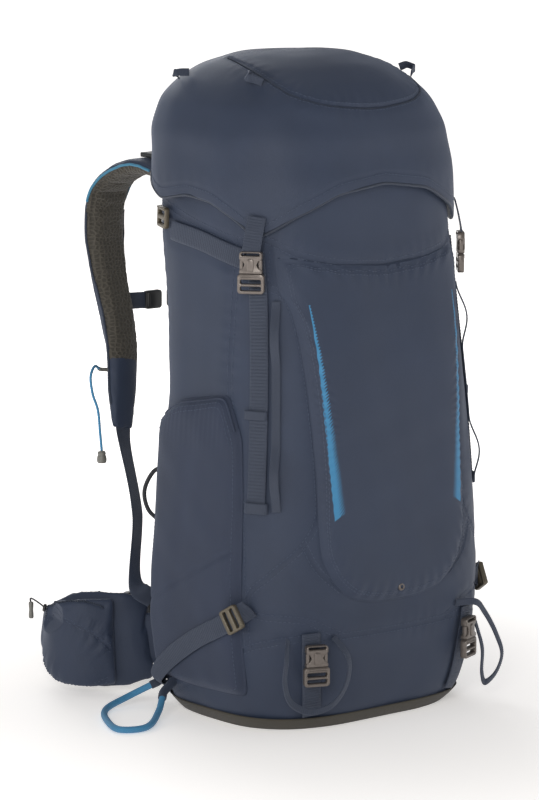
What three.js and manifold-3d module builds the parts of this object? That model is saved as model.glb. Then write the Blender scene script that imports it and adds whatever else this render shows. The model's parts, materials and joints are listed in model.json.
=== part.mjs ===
// Travel backpack: a tall top-loading pack with a hinged lid, a front pocket, side pockets, webbing
// straps with side-release buckles, padded shoulder straps and a hip belt with zipped pockets.
// Millimetres, +Z up, the wearer's side is +Y, the front of the pack is -Y, the wearer's left is -X.
// The origin is the middle of the sole, on its underside.
import * as THREE from "three";
import { mergeVertices } from "three/addons/utils/BufferGeometryUtils.js";
import Module from "manifold-3d";

const wasm = await Module();
wasm.setup();

// ---------------------------------------------------------------- driving dimensions
const HEIGHT = 680; // sole to the crown of the lid
const HALF_WIDTH = 160; // the widest section of the body, without pockets
const BODY_TOP = 560; // mouth of the main bag
const WALL = 4; // fabric, lining and foam of the body together
const LID_WALL = 3;
const LID_CEILING = 626; // underside of the lid's top pocket
const GAP = 0.3; // between sewn or clipped pieces
const STRAP_LIFT = 1.4; // webbing above the fabric it lies on
const WEBBING = 20; // width of the compression and buckle webbing
const WEBBING_THICK = 1.6;
const POCKET_DEPTH = 9; // how far the front pocket stands out
const SIDE_POCKET_DEPTH = 11;
const SIDE_POCKET_WALL = 2.2;
const BACK_PAD_THICK = 10;
const LUMBAR_THICK = 17;
const SOLE_THICK = 3.7;
const SOLE_RISE = 14; // height of the tough bottom panel's turned-up edge
const BUCKLE_RIM = 3.5; // plastic on each side of the webbing
const BUCKLE_WIDTH = WEBBING + 2 * BUCKLE_RIM;
const BUCKLE_LENGTH = 22; // of the socket half
const BUCKLE_DEPTH = 8;
const BUCKLE_WALL = 1.7;
const PRONG_LENGTH = 16;
const PAD_WIDTH = 62; // shoulder pad
const PAD_THICK = 14;
const WING_THICK = 15; // hip belt wing
const BELT_POCKET_THICK = 24;
const POCKET_STANDOFF = 3.8; // the curved wing and the pocket on it meet only at their seams
const POLE_LOOP_DIAMETER = 7;
const BUNGEE_DIAMETER = 3;

const SIDES = 36; // points round a body section
const kz = HEIGHT / 680; // heights below are written for a 680 mm pack
const kx = HALF_WIDTH / 160; // widths below are written for a 160 mm half-width

// Sections of the body and of the lid: height, half-width, front y, rear y, corner exponent.
const BODY = scaled([
  [0, 132, -76, 122, 3.2],
  [10, 144, -88, 132, 3.3],
  [40, 150, -96, 140, 3.5],
  [100, 158, -104, 145, 3.5],
  [160, 157, -106, 145, 3.5],
  [250, 152, -103, 138, 3.4],
  [330, 147, -99, 133, 3.2],
  [420, 141, -90, 142, 3.2],
  [500, 137, -80, 155, 3.3],
  [560, 134, -74, 158, 3.3],
  [625, 118, -58, 148, 2.9],
]);
const LID = scaled([
  [500, 145, -87, 168, 3.1],
  [551, 146, -86, 172, 3.1],
  [603, 141, -78, 177, 3.0],
  [632, 129, -67, 173, 2.9],
  [650, 113, -52, 162, 2.7],
  [666, 91, -30, 142, 2.5],
  [677, 62, 0, 116, 2.2],
  [680, 34, 26, 90, 2.0],
]);

function scaled(rows) {
  return rows.map(([z, half, front, rear, n]) => [z * kz, half * kx, front * kx, rear * kx, n]);
}

// ---------------------------------------------------------------- materials
const COLOURS = {
  navy: [0x434a59, 0.85],
  navyDark: [0x363b48, 0.88],
  webbing: [0x3a4150, 0.75],
  sole: [0x4b473c, 0.8],
  mesh: [0x45413b, 0.95],
  buckle: [0x7d736a, 0.45],
  hardware: [0x4c463c, 0.5],
  black: [0x26282c, 0.6],
  blue: [0x3f86b5, 0.6],
  grey: [0x71706c, 0.5],
  sheet: [0x8c8f91, 0.5],
};

function material(key) {
  const [color, roughness] = COLOURS[key];
  return new THREE.MeshStandardMaterial({ color, roughness, metalness: 0 });
}

const group = new THREE.Group();
group.name = "travel_backpack";

// Adds one named body to the assembly.
function add(name, solid, key) {
  const mesh = new THREE.Mesh(solid.isBufferGeometry ? solid : geometryOf(solid), material(key));
  mesh.name = name;
  group.add(mesh);
}

// ---------------------------------------------------------------- solids
function solidOf(geometry) {
  const plain = new THREE.BufferGeometry();
  const flat = geometry.index ? geometry.toNonIndexed() : geometry;
  plain.setAttribute("position", flat.getAttribute("position"));
  const merged = mergeVertices(plain, 1e-4);
  return new wasm.Manifold(
    new wasm.Mesh({
      numProp: 3,
      vertProperties: merged.attributes.position.array,
      triVerts: new Uint32Array(merged.index.array),
    }),
  );
}

function geometryOf(solid) {
  const mesh = solid.getMesh();
  const position = new Float32Array(mesh.numVert * 3);
  for (let i = 0; i < mesh.numVert; i++) {
    position.set(mesh.vertProperties.subarray(i * mesh.numProp, i * mesh.numProp + 3), i * 3);
  }
  const geometry = new THREE.BufferGeometry();
  geometry.setAttribute("position", new THREE.BufferAttribute(position, 3));
  geometry.setIndex(new THREE.BufferAttribute(mesh.triVerts, 1));
  const shaded = geometry.toNonIndexed();
  shaded.computeVertexNormals();
  return shaded;
}

// A closed solid from equal rings of points, with a fan over each end.
function skin(rings) {
  const count = rings[0].length;
  const middle = (ring) =>
    ring.reduce((sum, p) => sum.add(p), new THREE.Vector3()).multiplyScalar(1 / count);
  const points = rings.flat().concat([middle(rings[0]), middle(rings[rings.length - 1])]);
  const first = points.length - 2;
  const last = points.length - 1;
  const faces = [];
  for (let i = 0; i < count; i++) {
    const j = (i + 1) % count;
    const end = (rings.length - 1) * count;
    faces.push([first, j, i], [last, end + i, end + j]);
    for (let r = 0; r < rings.length - 1; r++) {
      const a = r * count + i;
      const b = r * count + j;
      faces.push([a, b, b + count], [a, b + count, a + count]);
    }
  }
  return solidFrom(points, faces);
}

function solidFrom(points, faces) {
  const position = new Float32Array(faces.flat().flatMap((i) => points[i].toArray()));
  const geometry = new THREE.BufferGeometry();
  geometry.setAttribute("position", new THREE.BufferAttribute(position, 3));
  const solid = solidOf(geometry);
  if (solid.volume() >= 0) return solid;
  return solidFrom(points, faces.map(([a, b, c]) => [a, c, b]));
}

// ---------------------------------------------------------------- the body's surface
function sectionAt(rows, z) {
  let i = 1;
  while (i < rows.length - 1 && z > rows[i][0]) i++;
  const low = rows[i - 1];
  const high = rows[i];
  const t = THREE.MathUtils.clamp((z - low[0]) / (high[0] - low[0]), 0, 1);
  const [, half, front, rear, n] = low.map((v, k) => v + (high[k] - v) * t);
  return { half, middle: (front + rear) / 2, depth: (rear - front) / 2, n };
}

// The point of the surface, moved out by off, that lies on the line from the section's middle.
function onSurface(rows, x, y, z, off) {
  const s = sectionAt(rows, z);
  const u = Math.abs(x) / (s.half + off);
  const v = Math.abs(y - s.middle) / (s.depth + off);
  const k = 1 / Math.pow(Math.pow(u, s.n) + Math.pow(v, s.n), 1 / s.n);
  return new THREE.Vector3(x * k, s.middle + (y - s.middle) * k, z);
}

function normalAt(rows, p) {
  const s = sectionAt(rows, p.z);
  const u = p.x / s.half;
  const v = (p.y - s.middle) / s.depth;
  const out = new THREE.Vector3(
    (Math.sign(u) * Math.pow(Math.abs(u), s.n - 1)) / s.half,
    (Math.sign(v) * Math.pow(Math.abs(v), s.n - 1)) / s.depth,
    0,
  );
  return out.normalize();
}

function loft(rows, low, high, off) {
  const levels = rows.map((row) => row[0]).filter((z) => z > low + 0.5 && z < high - 0.5);
  return skin(
    [low, ...levels, high].map((z) => {
      const s = sectionAt(rows, z);
      return Array.from({ length: SIDES }, (_, i) => {
        const a = (i / SIDES) * 2 * Math.PI;
        const reach = (c) => Math.sign(c) * Math.pow(Math.abs(c), 2 / s.n);
        return new THREE.Vector3(
          (s.half + off) * reach(Math.cos(a)),
          s.middle + (s.depth + off) * reach(Math.sin(a)),
          z,
        );
      });
    }),
  );
}

// Prisms that cut a panel out of the surface: an outline in X and Z, or in Y and Z.
function prism(outline) {
  const shape = new THREE.Shape(outline.map(([u, v]) => new THREE.Vector2(u, v)));
  return new THREE.ExtrudeGeometry(shape, { depth: 1, bevelEnabled: false });
}

function prismAlongY(outline, low, high) {
  const geometry = prism(outline.map(([x, z]) => [x * kx, z * kz]));
  geometry.rotateX(Math.PI / 2).scale(1, high - low, 1).translate(0, high, 0);
  return solidOf(geometry);
}

function prismAlongX(outline, low, high) {
  const geometry = prism(outline.map(([y, z]) => [y * kx, z * kz]));
  geometry.rotateX(Math.PI / 2).rotateZ(Math.PI / 2).scale(high - low, 1, 1).translate(low, 0, 0);
  return solidOf(geometry);
}

function panel(rows, cutter, low, high, inner, outer) {
  const slab = loft(rows, low, high, outer).subtract(loft(rows, low - 5, high + 5, inner));
  return slab.intersect(cutter);
}

// ---------------------------------------------------------------- webbing, pads and tubes
const V = (x, y, z) => new THREE.Vector3(x, y, z);

function smooth(points, steps) {
  return new THREE.CatmullRomCurve3(points, false, "centripetal").getSpacedPoints(steps);
}

// A flat band: at each station three points across, then the same three lifted by the thickness.
function band(stations, thick) {
  return skin(
    stations.map(({ across, normal }) => {
      const lifted = across.map((p) => p.clone().addScaledVector(normal, thick));
      return [...across, ...lifted.reverse()];
    }),
  );
}

// Webbing that lies on the body along guide points, lifted off its surface.
function strapOn(guides, width, lift, steps, thick = WEBBING_THICK) {
  const path = smooth(guides.map(([x, y, z]) => onSurface(BODY, x * kx, y * kx, z * kz, lift)), steps);
  const stations = path.map((p, i) => {
    const ahead = path[Math.min(i + 1, steps)].clone().sub(path[Math.max(i - 1, 0)]).normalize();
    const normal = normalAt(BODY, p);
    const side = new THREE.Vector3().crossVectors(ahead, normal).normalize();
    const across = [-0.5, 0, 0.5].map((u) => {
      const q = p.clone().addScaledVector(side, u * width);
      return onSurface(BODY, q.x, q.y, q.z, lift);
    });
    return { across, normal };
  });
  return band(stations, thick);
}

// A free flat band along points, whose face looks along the given direction.
function freeBand(points, width, thick, steps, face) {
  const path = smooth(points, steps);
  const stations = path.map((p, i) => {
    const ahead = path[Math.min(i + 1, steps)].clone().sub(path[Math.max(i - 1, 0)]).normalize();
    const side = new THREE.Vector3().crossVectors(ahead, face).normalize();
    const normal = new THREE.Vector3().crossVectors(side, ahead).normalize();
    const across = [-0.5, 0, 0.5].map((u) => p.clone().addScaledVector(side, u * width));
    return { across: across.map((q) => q.addScaledVector(normal, -thick / 2)), normal };
  });
  return band(stations, thick);
}

// A padded strip: rounded sections of changing width and thickness along a path.
function padding(stations, face, steps, corners = 12) {
  const path = smooth(stations.map((s) => s.at), steps);
  const pick = (key, t) => {
    const f = t * (stations.length - 1);
    const i = Math.min(Math.floor(f), stations.length - 2);
    return THREE.MathUtils.lerp(stations[i][key], stations[i + 1][key], f - i);
  };
  return skin(
    path.map((p, i) => {
      const t = i / steps;
      const ahead = path[Math.min(i + 1, steps)].clone().sub(path[Math.max(i - 1, 0)]).normalize();
      const side = new THREE.Vector3().crossVectors(ahead, face).normalize();
      const normal = new THREE.Vector3().crossVectors(side, ahead).normalize();
      return Array.from({ length: corners }, (_, k) => {
        const a = (k / corners) * 2 * Math.PI;
        const reach = (c) => Math.sign(c) * Math.pow(Math.abs(c), 0.6);
        return p
          .clone()
          .addScaledVector(side, (pick("width", t) / 2) * reach(Math.cos(a)))
          .addScaledVector(normal, (pick("thick", t) / 2) * reach(Math.sin(a)));
      });
    }),
  );
}

function tube(points, diameter, steps, sides = 8) {
  const shape = new THREE.Shape(
    Array.from({ length: sides }, (_, i) => {
      const a = (i / sides) * 2 * Math.PI;
      return new THREE.Vector2((Math.cos(a) * diameter) / 2, (Math.sin(a) * diameter) / 2);
    }),
  );
  const curve = new THREE.CatmullRomCurve3(points, false, "centripetal");
  return solidOf(new THREE.ExtrudeGeometry(shape, { steps, extrudePath: curve, curveSegments: 1 }));
}

// A box centred on the origin, with its upright edges rounded.
function block(width, height, depth, radius = 1.5) {
  if (radius === 0) return solidOf(new THREE.BoxGeometry(width, height, depth));
  const r = Math.min(radius, width / 2 - 0.01, height / 2 - 0.01);
  const w = width / 2;
  const h = height / 2;
  const shape = new THREE.Shape();
  shape.moveTo(-w + r, -h).lineTo(w - r, -h).quadraticCurveTo(w, -h, w, -h + r);
  shape.lineTo(w, h - r).quadraticCurveTo(w, h, w - r, h).lineTo(-w + r, h);
  shape.quadraticCurveTo(-w, h, -w, h - r).lineTo(-w, -h + r).quadraticCurveTo(-w, -h, -w + r, -h);
  const geometry = new THREE.ExtrudeGeometry(shape, { depth, bevelEnabled: false, curveSegments: 2 });
  return solidOf(geometry.translate(0, 0, -depth / 2));
}

// ---------------------------------------------------------------- side-release buckle
// Local frame: x across, y up the strap (the socket is above the joint line y = 0), z outwards.
function buckleSocket() {
  const middle = BUCKLE_LENGTH / 2;
  let socket = block(BUCKLE_WIDTH - 4, BUCKLE_LENGTH, BUCKLE_DEPTH, 2).translate([0, middle, 0]);
  const room = BUCKLE_WIDTH - 4 - 2 * BUCKLE_WALL;
  const channel = block(room, PRONG_LENGTH + 2, BUCKLE_DEPTH - 2 * BUCKLE_WALL, 0);
  socket = socket.subtract(channel.translate([0, PRONG_LENGTH / 2, 0]));
  for (const side of [-1, 1]) {
    const window = block(7, 8, BUCKLE_DEPTH + 2, 0);
    socket = socket.subtract(window.translate([side * (BUCKLE_WIDTH / 2 - 1.5), PRONG_LENGTH * 0.55, 0]));
  }
  const slot = block(WEBBING - 1.4, 2.6, BUCKLE_DEPTH + 2, 0);
  return socket.subtract(slot.translate([0, BUCKLE_LENGTH - 2.6, 0]));
}

function buckleProngs() {
  const ladder = 20;
  let male = block(BUCKLE_WIDTH, ladder, BUCKLE_DEPTH - 1, 3).translate([0, -ladder / 2 - 0.4, 0]);
  for (const y of [-8.2, -15]) {
    male = male.subtract(block(BUCKLE_WIDTH - 6, 4.2, BUCKLE_DEPTH + 2, 0).translate([0, y, 0]));
  }
  const room = BUCKLE_WIDTH - 4 - 2 * BUCKLE_WALL - 1;
  const thin = BUCKLE_DEPTH - 2 * BUCKLE_WALL - 1;
  for (const side of [-1, 1]) {
    const arm = block(3.4, PRONG_LENGTH, thin, 0);
    male = male.add(arm.translate([side * (room / 2 - 1.7), PRONG_LENGTH / 2 - 1.5, 0]));
  }
  return male.add(block(3, PRONG_LENGTH - 3, thin, 0).translate([0, (PRONG_LENGTH - 3) / 2 - 1, 0]));
}

// The strap tightener with two windows.
function ladderLock(width) {
  let lock = block(width + 6, 22, 5, 2.5);
  for (const y of [-4.8, 4.8]) lock = lock.subtract(block(width + 0.8, 4.6, 8, 0).translate([0, y, 0]));
  return lock;
}

// Places a local solid: its y axis along up, its z axis along out.
function placed(solid, at, up, out) {
  const z = out.clone().normalize();
  const x = new THREE.Vector3().crossVectors(up, z).normalize();
  const y = new THREE.Vector3().crossVectors(z, x).normalize();
  const m = new THREE.Matrix4().makeBasis(x, y, z).setPosition(at);
  return solid.transform(m.elements.slice());
}

const facing = (side, degrees) => {
  const a = (degrees * Math.PI) / 180;
  return V(side * Math.sin(a), -Math.cos(a), 0);
};

// Runs a builder for the wearer's left (-X) and right (+X), with the name ending to use.
function bothSides(build) {
  build(-1, "_left");
  build(1, "_right");
}

// ---------------------------------------------------------------- main bag
function mainBag() {
  const outer = loft(BODY, SOLE_THICK + GAP, BODY_TOP * kz, 0);
  const inner = loft(BODY, SOLE_THICK + GAP + WALL, (BODY_TOP + 5) * kz, -WALL);
  add("main_bag", outer.subtract(inner), "navy");
}

function basePanel() {
  const outer = loft(BODY, 0, SOLE_RISE, 2.4);
  const inner = loft(BODY, SOLE_THICK, SOLE_RISE + 5, GAP);
  add("base_panel", outer.subtract(inner), "sole");
}

function collar() {
  const low = (BODY_TOP + GAP) * kz;
  const high = (LID_CEILING - 6) * kz;
  const tubeWall = loft(BODY, low, high, -1.5).subtract(loft(BODY, low - 2, high + 2, -4));
  add("collar", tubeWall, "navyDark");
}

function frontPocket() {
  const half = [
    [0, 128], [30, 129], [61, 136], [83, 154], [96, 180], [98, 215], [98, 262], [100, 312], [103, 363],
    [107, 409], [112, 435], [119, 449], [119, 485], [60, 474], [0, 470],
  ];
  const mirrored = half.slice(1, -1).reverse().map(([x, z]) => [-x, z]);
  const cutter = prismAlongY([...half, ...mirrored], -200 * kx, 0);
  add("front_pocket", panel(BODY, cutter, 100 * kz, 500 * kz, GAP, POCKET_DEPTH), "navy");
}

// An open-topped pocket: a thin wall that stands off the side and closes on it at its other edges.
function sidePockets() {
  const outline = [
    [98, 36], [106, 150], [100, 312], [60, 330], [-15, 344], [-36, 300], [-41, 240], [-44, 134], [-42, 36],
  ];
  const room = [
    [95, 42], [101, 150], [96, 360], [-34, 360], [-35, 300], [-37, 240], [-40, 134], [-38, 42],
  ];
  bothSides((side, ending) => {
    const reach = 200 * kx;
    const span = side < 0 ? [-reach, -20] : [20, reach];
    const wall = panel(BODY, prismAlongX(outline, ...span), 30 * kz, 350 * kz, GAP, SIDE_POCKET_DEPTH);
    const depth = SIDE_POCKET_DEPTH - SIDE_POCKET_WALL;
    const hollow = panel(BODY, prismAlongX(room, ...span), 30 * kz, 362 * kz, -5, depth);
    add("side_pocket" + ending, wall.subtract(hollow), "navy");
  });
}

function backPanel() {
  const top = 522;
  const half = [[0, 132], [104, 132], [108, 300], [92, 470], [70, top], [0, top]];
  const outline = [...half, ...half.slice(1, -1).reverse().map(([x, z]) => [-x, z])];
  const cutter = prismAlongY(outline, 20, 220 * kx);
  add("back_pad", panel(BODY, cutter, 125 * kz, (top + 5) * kz, GAP, BACK_PAD_THICK), "mesh");
  const low = prismAlongY([[-90, 34], [90, 34], [94, 122], [-94, 122]], 20, 220 * kx);
  add("lumbar_pad", panel(BODY, low, 20 * kz, 128 * kz, GAP, LUMBAR_THICK), "mesh");
  const inside = prismAlongY([[-88, 30], [88, 30], [88, 500], [60, 530], [-60, 530], [-88, 500]], 60, 220);
  add("frame_sheet", panel(BODY, inside, 25 * kz, 540 * kz, -WALL - 2.6, -WALL - 1), "sheet");
}

// ---------------------------------------------------------------- webbing on the body
const BUCKLE_TURN = 52; // degrees from straight ahead that the lid buckles face
const BUCKLE_Z = 468; // joint line of the lid buckles
const LID_BUCKLE_AT = (side) => {
  const p = onSurface(BODY, side * 134 * kx, -38 * kx, BUCKLE_Z * kz, 0);
  return p.addScaledVector(facing(side, BUCKLE_TURN), 14);
};

function frontStraps() {
  bothSides((side, ending) => {
    const route = [[141, -44, 486], [142, -50, 440], [144, -56, 330], [147, -58, 228]];
    const guides = route.map(([x, y, z]) => [side * x, y, z]);
    add("front_strap" + ending, strapOn(guides, WEBBING, STRAP_LIFT, 10), "webbing");
    const path = [];
    for (let z = 440; z >= 230; z -= 14) path.push(besideStrap(side, z));
    add("daisy_chain" + ending, chainBand(path, DAISY_WIDTH), "webbing");
  });
}

const DAISY_WIDTH = 9;
const DAISY_CLEAR = 7; // between the two bands, before they bend round the corner
const DAISY_STAND = 5; // how far a loop of the narrow band bows out
const DAISY_PITCH = 70;

// A point of the narrow looped band, which runs just in front of the wide webbing.
function besideStrap(side, z) {
  const t = (486 - z) / (486 - 228);
  const p = onSurface(BODY, side * (141 + 6 * t) * kx, (-44 - 14 * t) * kx, z * kz, 0);
  const n = normalAt(BODY, p);
  const step = side * (WEBBING / 2 + DAISY_CLEAR + DAISY_WIDTH / 2);
  p.add(V(n.y * step, -n.x * step, 0));
  const bow = Math.max(0, Math.sin(((440 - z) / DAISY_PITCH) * Math.PI)) ** 2 * DAISY_STAND;
  return onSurface(BODY, p.x, p.y, p.z, STRAP_LIFT + bow);
}

function chainBand(path, width) {
  const stations = path.map((p, i) => {
    const ahead = path[Math.min(i + 1, path.length - 1)].clone().sub(path[Math.max(i - 1, 0)]).normalize();
    const normal = normalAt(BODY, p);
    const side = new THREE.Vector3().crossVectors(ahead, normal).normalize();
    const across = [-0.5, 0, 0.5].map((u) => p.clone().addScaledVector(side, u * width));
    return { across, normal };
  });
  return band(stations, 1.4);
}

function sideStraps() {
  bothSides((side, ending) => {
    const clear = -44 + (WEBBING / 2 + 6) / kx; // stops short of the webbing that runs down the front
    const upper = [[143, 90, 500], [146, 40, 494], [146, 0, 486], [140, clear, 480]];
    const upperGuides = upper.map(([x, y, z]) => [side * x, y, z]);
    add("upper_side_strap" + ending, strapOn(upperGuides, WEBBING, STRAP_LIFT, 8), "webbing");
    const hook = onSurface(BODY, side * 140 * kx, 104 * kx, 512 * kz, 5);
    const hookOut = normalAt(BODY, hook);
    add("upper_side_buckle" + ending, placed(ladderLock(16), hook, V(0, -0.1, 1), hookOut), "hardware");

    const lower = [[147, 104, 26], [158, 60, 60], [160, 10, 92], [158, -24, 110]];
    const lowerGuides = lower.map(([x, y, z]) => [side * x, y, z]);
    const lift = SIDE_POCKET_DEPTH + STRAP_LIFT;
    add("lower_side_strap" + ending, strapOn(lowerGuides, WEBBING, lift, 9), "webbing");
    const lock = onSurface(BODY, side * 160 * kx, -44 * kx, 121 * kz, lift + 3);
    const out = normalAt(BODY, lock);
    add("lower_side_buckle" + ending, placed(ladderLock(WEBBING), lock, V(0, -0.85, 0.5), out), "hardware");
  });
}

const BASE_BUCKLE_AT = (side) => {
  const p = onSurface(BODY, side * 100 * kx, -92 * kx, 73 * kz, 0);
  return p.addScaledVector(facing(side, 22), 11);
};

function baseStraps() {
  bothSides((side, ending) => {
    const at = BASE_BUCKLE_AT(side);
    const out = facing(side, 22);
    add("base_buckle_female" + ending, placed(buckleSocket(), at, V(0, 0, 1), out), "buckle");
    add("base_buckle_male" + ending, placed(buckleProngs(), at, V(0, 0, 1), out), "buckle");
    const route = [[101, -90, 106], [101, -90, 90], [100, -89, 60], [98, -87, 36], [96, -84, 18]];
    const guides = route.map(([x, y, z]) => [side * x, y, z]);
    add("base_strap" + ending, strapOn(guides, WEBBING, STRAP_LIFT, 7), "webbing");
  });
}

// Each point: which edge of the buckle it is measured from (-1, 0 or 1), how far from it, height.
const LOOP_LEFT = [
  [-1, -18, 102], [-1, -29, 84], [-1, -29, 60], [-1, -18, 38], [0, -8, 26],
  [1, 1, 31], [1, 15, 52], [1, 14, 80], [1, 5, 100],
];
const LOOP_RIGHT = [
  [0, -14, 112], [0, 6, 112], [1, 12, 98], [1, 33, 70], [1, 44, 46],
  [1, 38, 26], [1, 26, 18], [1, 18, 30], [1, 14, 58], [1, 12, 86],
];
const LOOP_WIDTH = 7;

function toolLoops() {
  const hang = (route, side) =>
    route.map(([edge, far, z], i) => {
      const x = side * 100 * kx + (edge * BUCKLE_WIDTH) / 2 + far * kx;
      const seat = Math.sign(x) * Math.min(Math.abs(x), 128 * kx);
      const base = onSurface(BODY, seat, -92 * kx, z * kz, 0);
      const lift = i === 0 || i === route.length - 1 ? 3 : 16;
      return V(x, base.y - lift, z * kz);
    });
  const left = freeBand(hang(LOOP_LEFT, -1), LOOP_WIDTH, WEBBING_THICK, 18, V(0.3, -1, 0));
  const right = freeBand(hang(LOOP_RIGHT, 1), LOOP_WIDTH, WEBBING_THICK, 20, V(0.5, -1, 0));
  add("tool_loop_left", left, "webbing");
  add("tool_loop_right", right, "webbing");
}

function smallLoops() {
  const gear = [[248, 3], [243, 12], [222, 19], [202, 14], [190, 3]];
  const route = gear.map(([z, off]) => onSurface(BODY, -116 * kx, 124 * kx, z * kz, off + GAP));
  add("side_gear_loop", tube(route, 4.5, 12), "black");
  const pole = [
    [-142, 106, 26], [-170, 120, 12], [-204, 114, 5], [-235, 72, 4.2], [-246, 36, 4.2],
    [-222, 27, 4.2], [-185, 52, 10], [-164, 70, 24],
  ];
  add("pole_loop", tube(pole.map(([x, y, z]) => V(x * kx, y * kx, z)), POLE_LOOP_DIAMETER, 26), "blue");
}

// ---------------------------------------------------------------- lid
function lid() {
  const shell = loft(LID, 500 * kz, HEIGHT, 0);
  const room = loft(LID, 490 * kz, LID_CEILING * kz, -LID_WALL);
  const front = [[0, 553], [60, 545], [106, 523], [135, 500], [135, 440], [0, 440]];
  const frontCut = [...front, ...front.slice(1, -1).reverse().map(([x, z]) => [-x, z])];
  const sideCut = [
    [-42, 440], [-42, 500], [-22, 518], [12, 535], [53, 540],
    [99, 532], [136, 548], [156, 572], [220, 572], [220, 440],
  ];
  const solid = shell
    .subtract(room)
    .subtract(prismAlongY(frontCut, -200 * kx, 0))
    .subtract(prismAlongX(sideCut, -200 * kx, 200 * kx));
  add("lid", solid, "navy");
}

function lidTabs() {
  bothSides((side, ending) => {
    const at = LID_BUCKLE_AT(side);
    const out = facing(side, BUCKLE_TURN);
    const socket = placed(buckleSocket(), at, V(0, 0, 1), out);
    add("lid_buckle_male" + ending, placed(buckleProngs(), at, V(0, 0, 1), out), "buckle");
    const top = onSurface(LID, side * 136 * kx, -46 * kx, 520 * kz, 2.2);
    const low = at.clone().setZ(at.z + BUCKLE_LENGTH - 0.6);
    const middle = top.clone().lerp(low, 0.5).addScaledVector(out, 1);
    const tab = freeBand([top, middle, low], WEBBING, WEBBING_THICK, 8, out);
    add("lid_buckle_female" + ending, socket.add(tab), "buckle");
  });
}

function lidLoops() {
  const seats = [["lid_loop_rear", 104, 108], ["lid_loop_front", 100, -4]];
  for (const [name, x, y] of seats) {
    bothSides((side, ending) => {
      const foot = (dx, dy) => onLidTop(side * x * kx + dx, y * kx + dy);
      const a = foot(0, -9);
      const b = foot(0, 9);
      const top = foot(side * 7, 0);
      const points = [a, top.clone().lerp(a, 0.4), top.addScaledVector(V(side * 0.6, 0, 0.8), 9), b];
      points[1].addScaledVector(V(side * 0.6, 0, 0.8), 6);
      const last = points[2].clone().lerp(b, 0.6).addScaledVector(V(side * 0.6, 0, 0.8), 3);
      add(name + ending, freeBand([a, points[1], points[2], last, b], 8, 1.4, 8, V(side, 0, 0.2)), "webbing");
    });
  }
}

// A point just above the crown of the lid.
function onLidTop(x, y) {
  let z = HEIGHT;
  for (; z > 600 * kz; z -= 0.25) {
    const s = sectionAt(LID, z);
    const reach = Math.abs(x / s.half) ** s.n + Math.abs((y - s.middle) / s.depth) ** s.n;
    if (reach < 1) break;
  }
  return V(x, y, z + 5.5);
}

function lidZip() {
  const p = onSurface(LID, 124 * kx, 20 * kx, 632 * kz, 5.4);
  const out = normalAt(LID, p);
  const pull = block(5, 18, 2.2, 1.5);
  add("lid_zip_pull", placed(pull, p, V(0, 0, 1), out), "grey");
}

// ---------------------------------------------------------------- harness
function haulLoop() {
  const points = [
    V(-26 * kx, 173 * kx, 548 * kz), V(-25 * kx, 178 * kx, 528 * kz), V(-14 * kx, 183 * kx, 511 * kz),
    V(14 * kx, 183 * kx, 511 * kz), V(25 * kx, 178 * kx, 528 * kz), V(26 * kx, 173 * kx, 548 * kz),
  ];
  add("haul_loop", freeBand(points, 14, 2.4, 14, V(0, 1, 0.25)), "webbing");
}

const PAD = [
  [62, 170, 538], [66, 194, 552], [71, 230, 552], [78, 266, 526], [80, 273, 482],
  [81, 266, 436], [82, 251, 390], [88, 236, 350], [96, 224, 310], [103, 214, 274],
];

function shoulderStraps() {
  bothSides((side, ending) => {
    const widths = [46, 56, PAD_WIDTH, PAD_WIDTH, 60, 56, 52, 48, 42, 30];
    const stations = PAD.map(([x, y, z], i) => ({
      at: V(side * x * kx, y * kx, z * kz),
      width: widths[i],
      thick: i === 0 || i === PAD.length - 1 ? 9 : PAD_THICK,
    }));
    add("shoulder_pad" + ending, turningPad(stations, side), "mesh");
    const [x, y, z] = PAD[PAD.length - 1];
    const start = V(side * (x + 1) * kx, (y - 2) * kx, (z - 7) * kz);
    const end = onSurface(BODY, side * 146 * kx, 112 * kx, 126 * kz, SIDE_POCKET_DEPTH + 6);
    const middle = start.clone().lerp(end, 0.5).add(V(-side * 4, -6, 0));
    const tail = freeBand([start, middle, end], WEBBING, WEBBING_THICK, 14, V(0, 1, 0.4));
    add("shoulder_webbing" + ending, tail, "webbing");

    const chest = V(side * 79 * kx, 262 * kx + PAD_THICK / 2 + 4, 402 * kz);
    const inner = V(side * 26 * kx, chest.y, 400 * kz);
    const chestBand = freeBand([chest, chest.clone().lerp(inner, 0.5), inner], 18, 1.6, 8, V(0, 1, 0));
    const clip = placed(block(22, 20, 6, 3), V(side * 16 * kx, chest.y, 400 * kz), V(0, 0, 1), V(0, 1, 0));
    add("sternum_strap" + ending, chestBand.add(clip), "webbing");

    const seat = V(side * 67 * kx, 206 * kx, 557.4 * kz + PAD_THICK / 2);
    add("load_lifter" + ending, placed(ladderLock(14), seat, V(0, -1, 0), V(0, 0, 1)), "black");
  });
}

// The pad turns over the shoulder, so its width direction is kept level and slightly splayed.
function turningPad(stations, side) {
  const steps = 20;
  const path = smooth(stations.map((s) => s.at), steps);
  return skin(
    path.map((p, i) => {
      const f = (i / steps) * (stations.length - 1);
      const k = Math.min(Math.floor(f), stations.length - 2);
      const width = THREE.MathUtils.lerp(stations[k].width, stations[k + 1].width, f - k);
      const thick = THREE.MathUtils.lerp(stations[k].thick, stations[k + 1].thick, f - k);
      const ahead = path[Math.min(i + 1, steps)].clone().sub(path[Math.max(i - 1, 0)]).normalize();
      const level = V(side, -0.12, 0);
      const across = level.addScaledVector(ahead, -level.dot(ahead)).normalize();
      const normal = new THREE.Vector3().crossVectors(across, ahead).normalize();
      return Array.from({ length: 12 }, (_, c) => {
        const a = (c / 12) * 2 * Math.PI;
        const reach = (v) => Math.sign(v) * Math.pow(Math.abs(v), 0.6);
        return p
          .clone()
          .addScaledVector(across, (width / 2) * reach(Math.cos(a)))
          .addScaledVector(normal, (thick / 2) * reach(Math.sin(a)));
      });
    }),
  );
}

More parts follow.
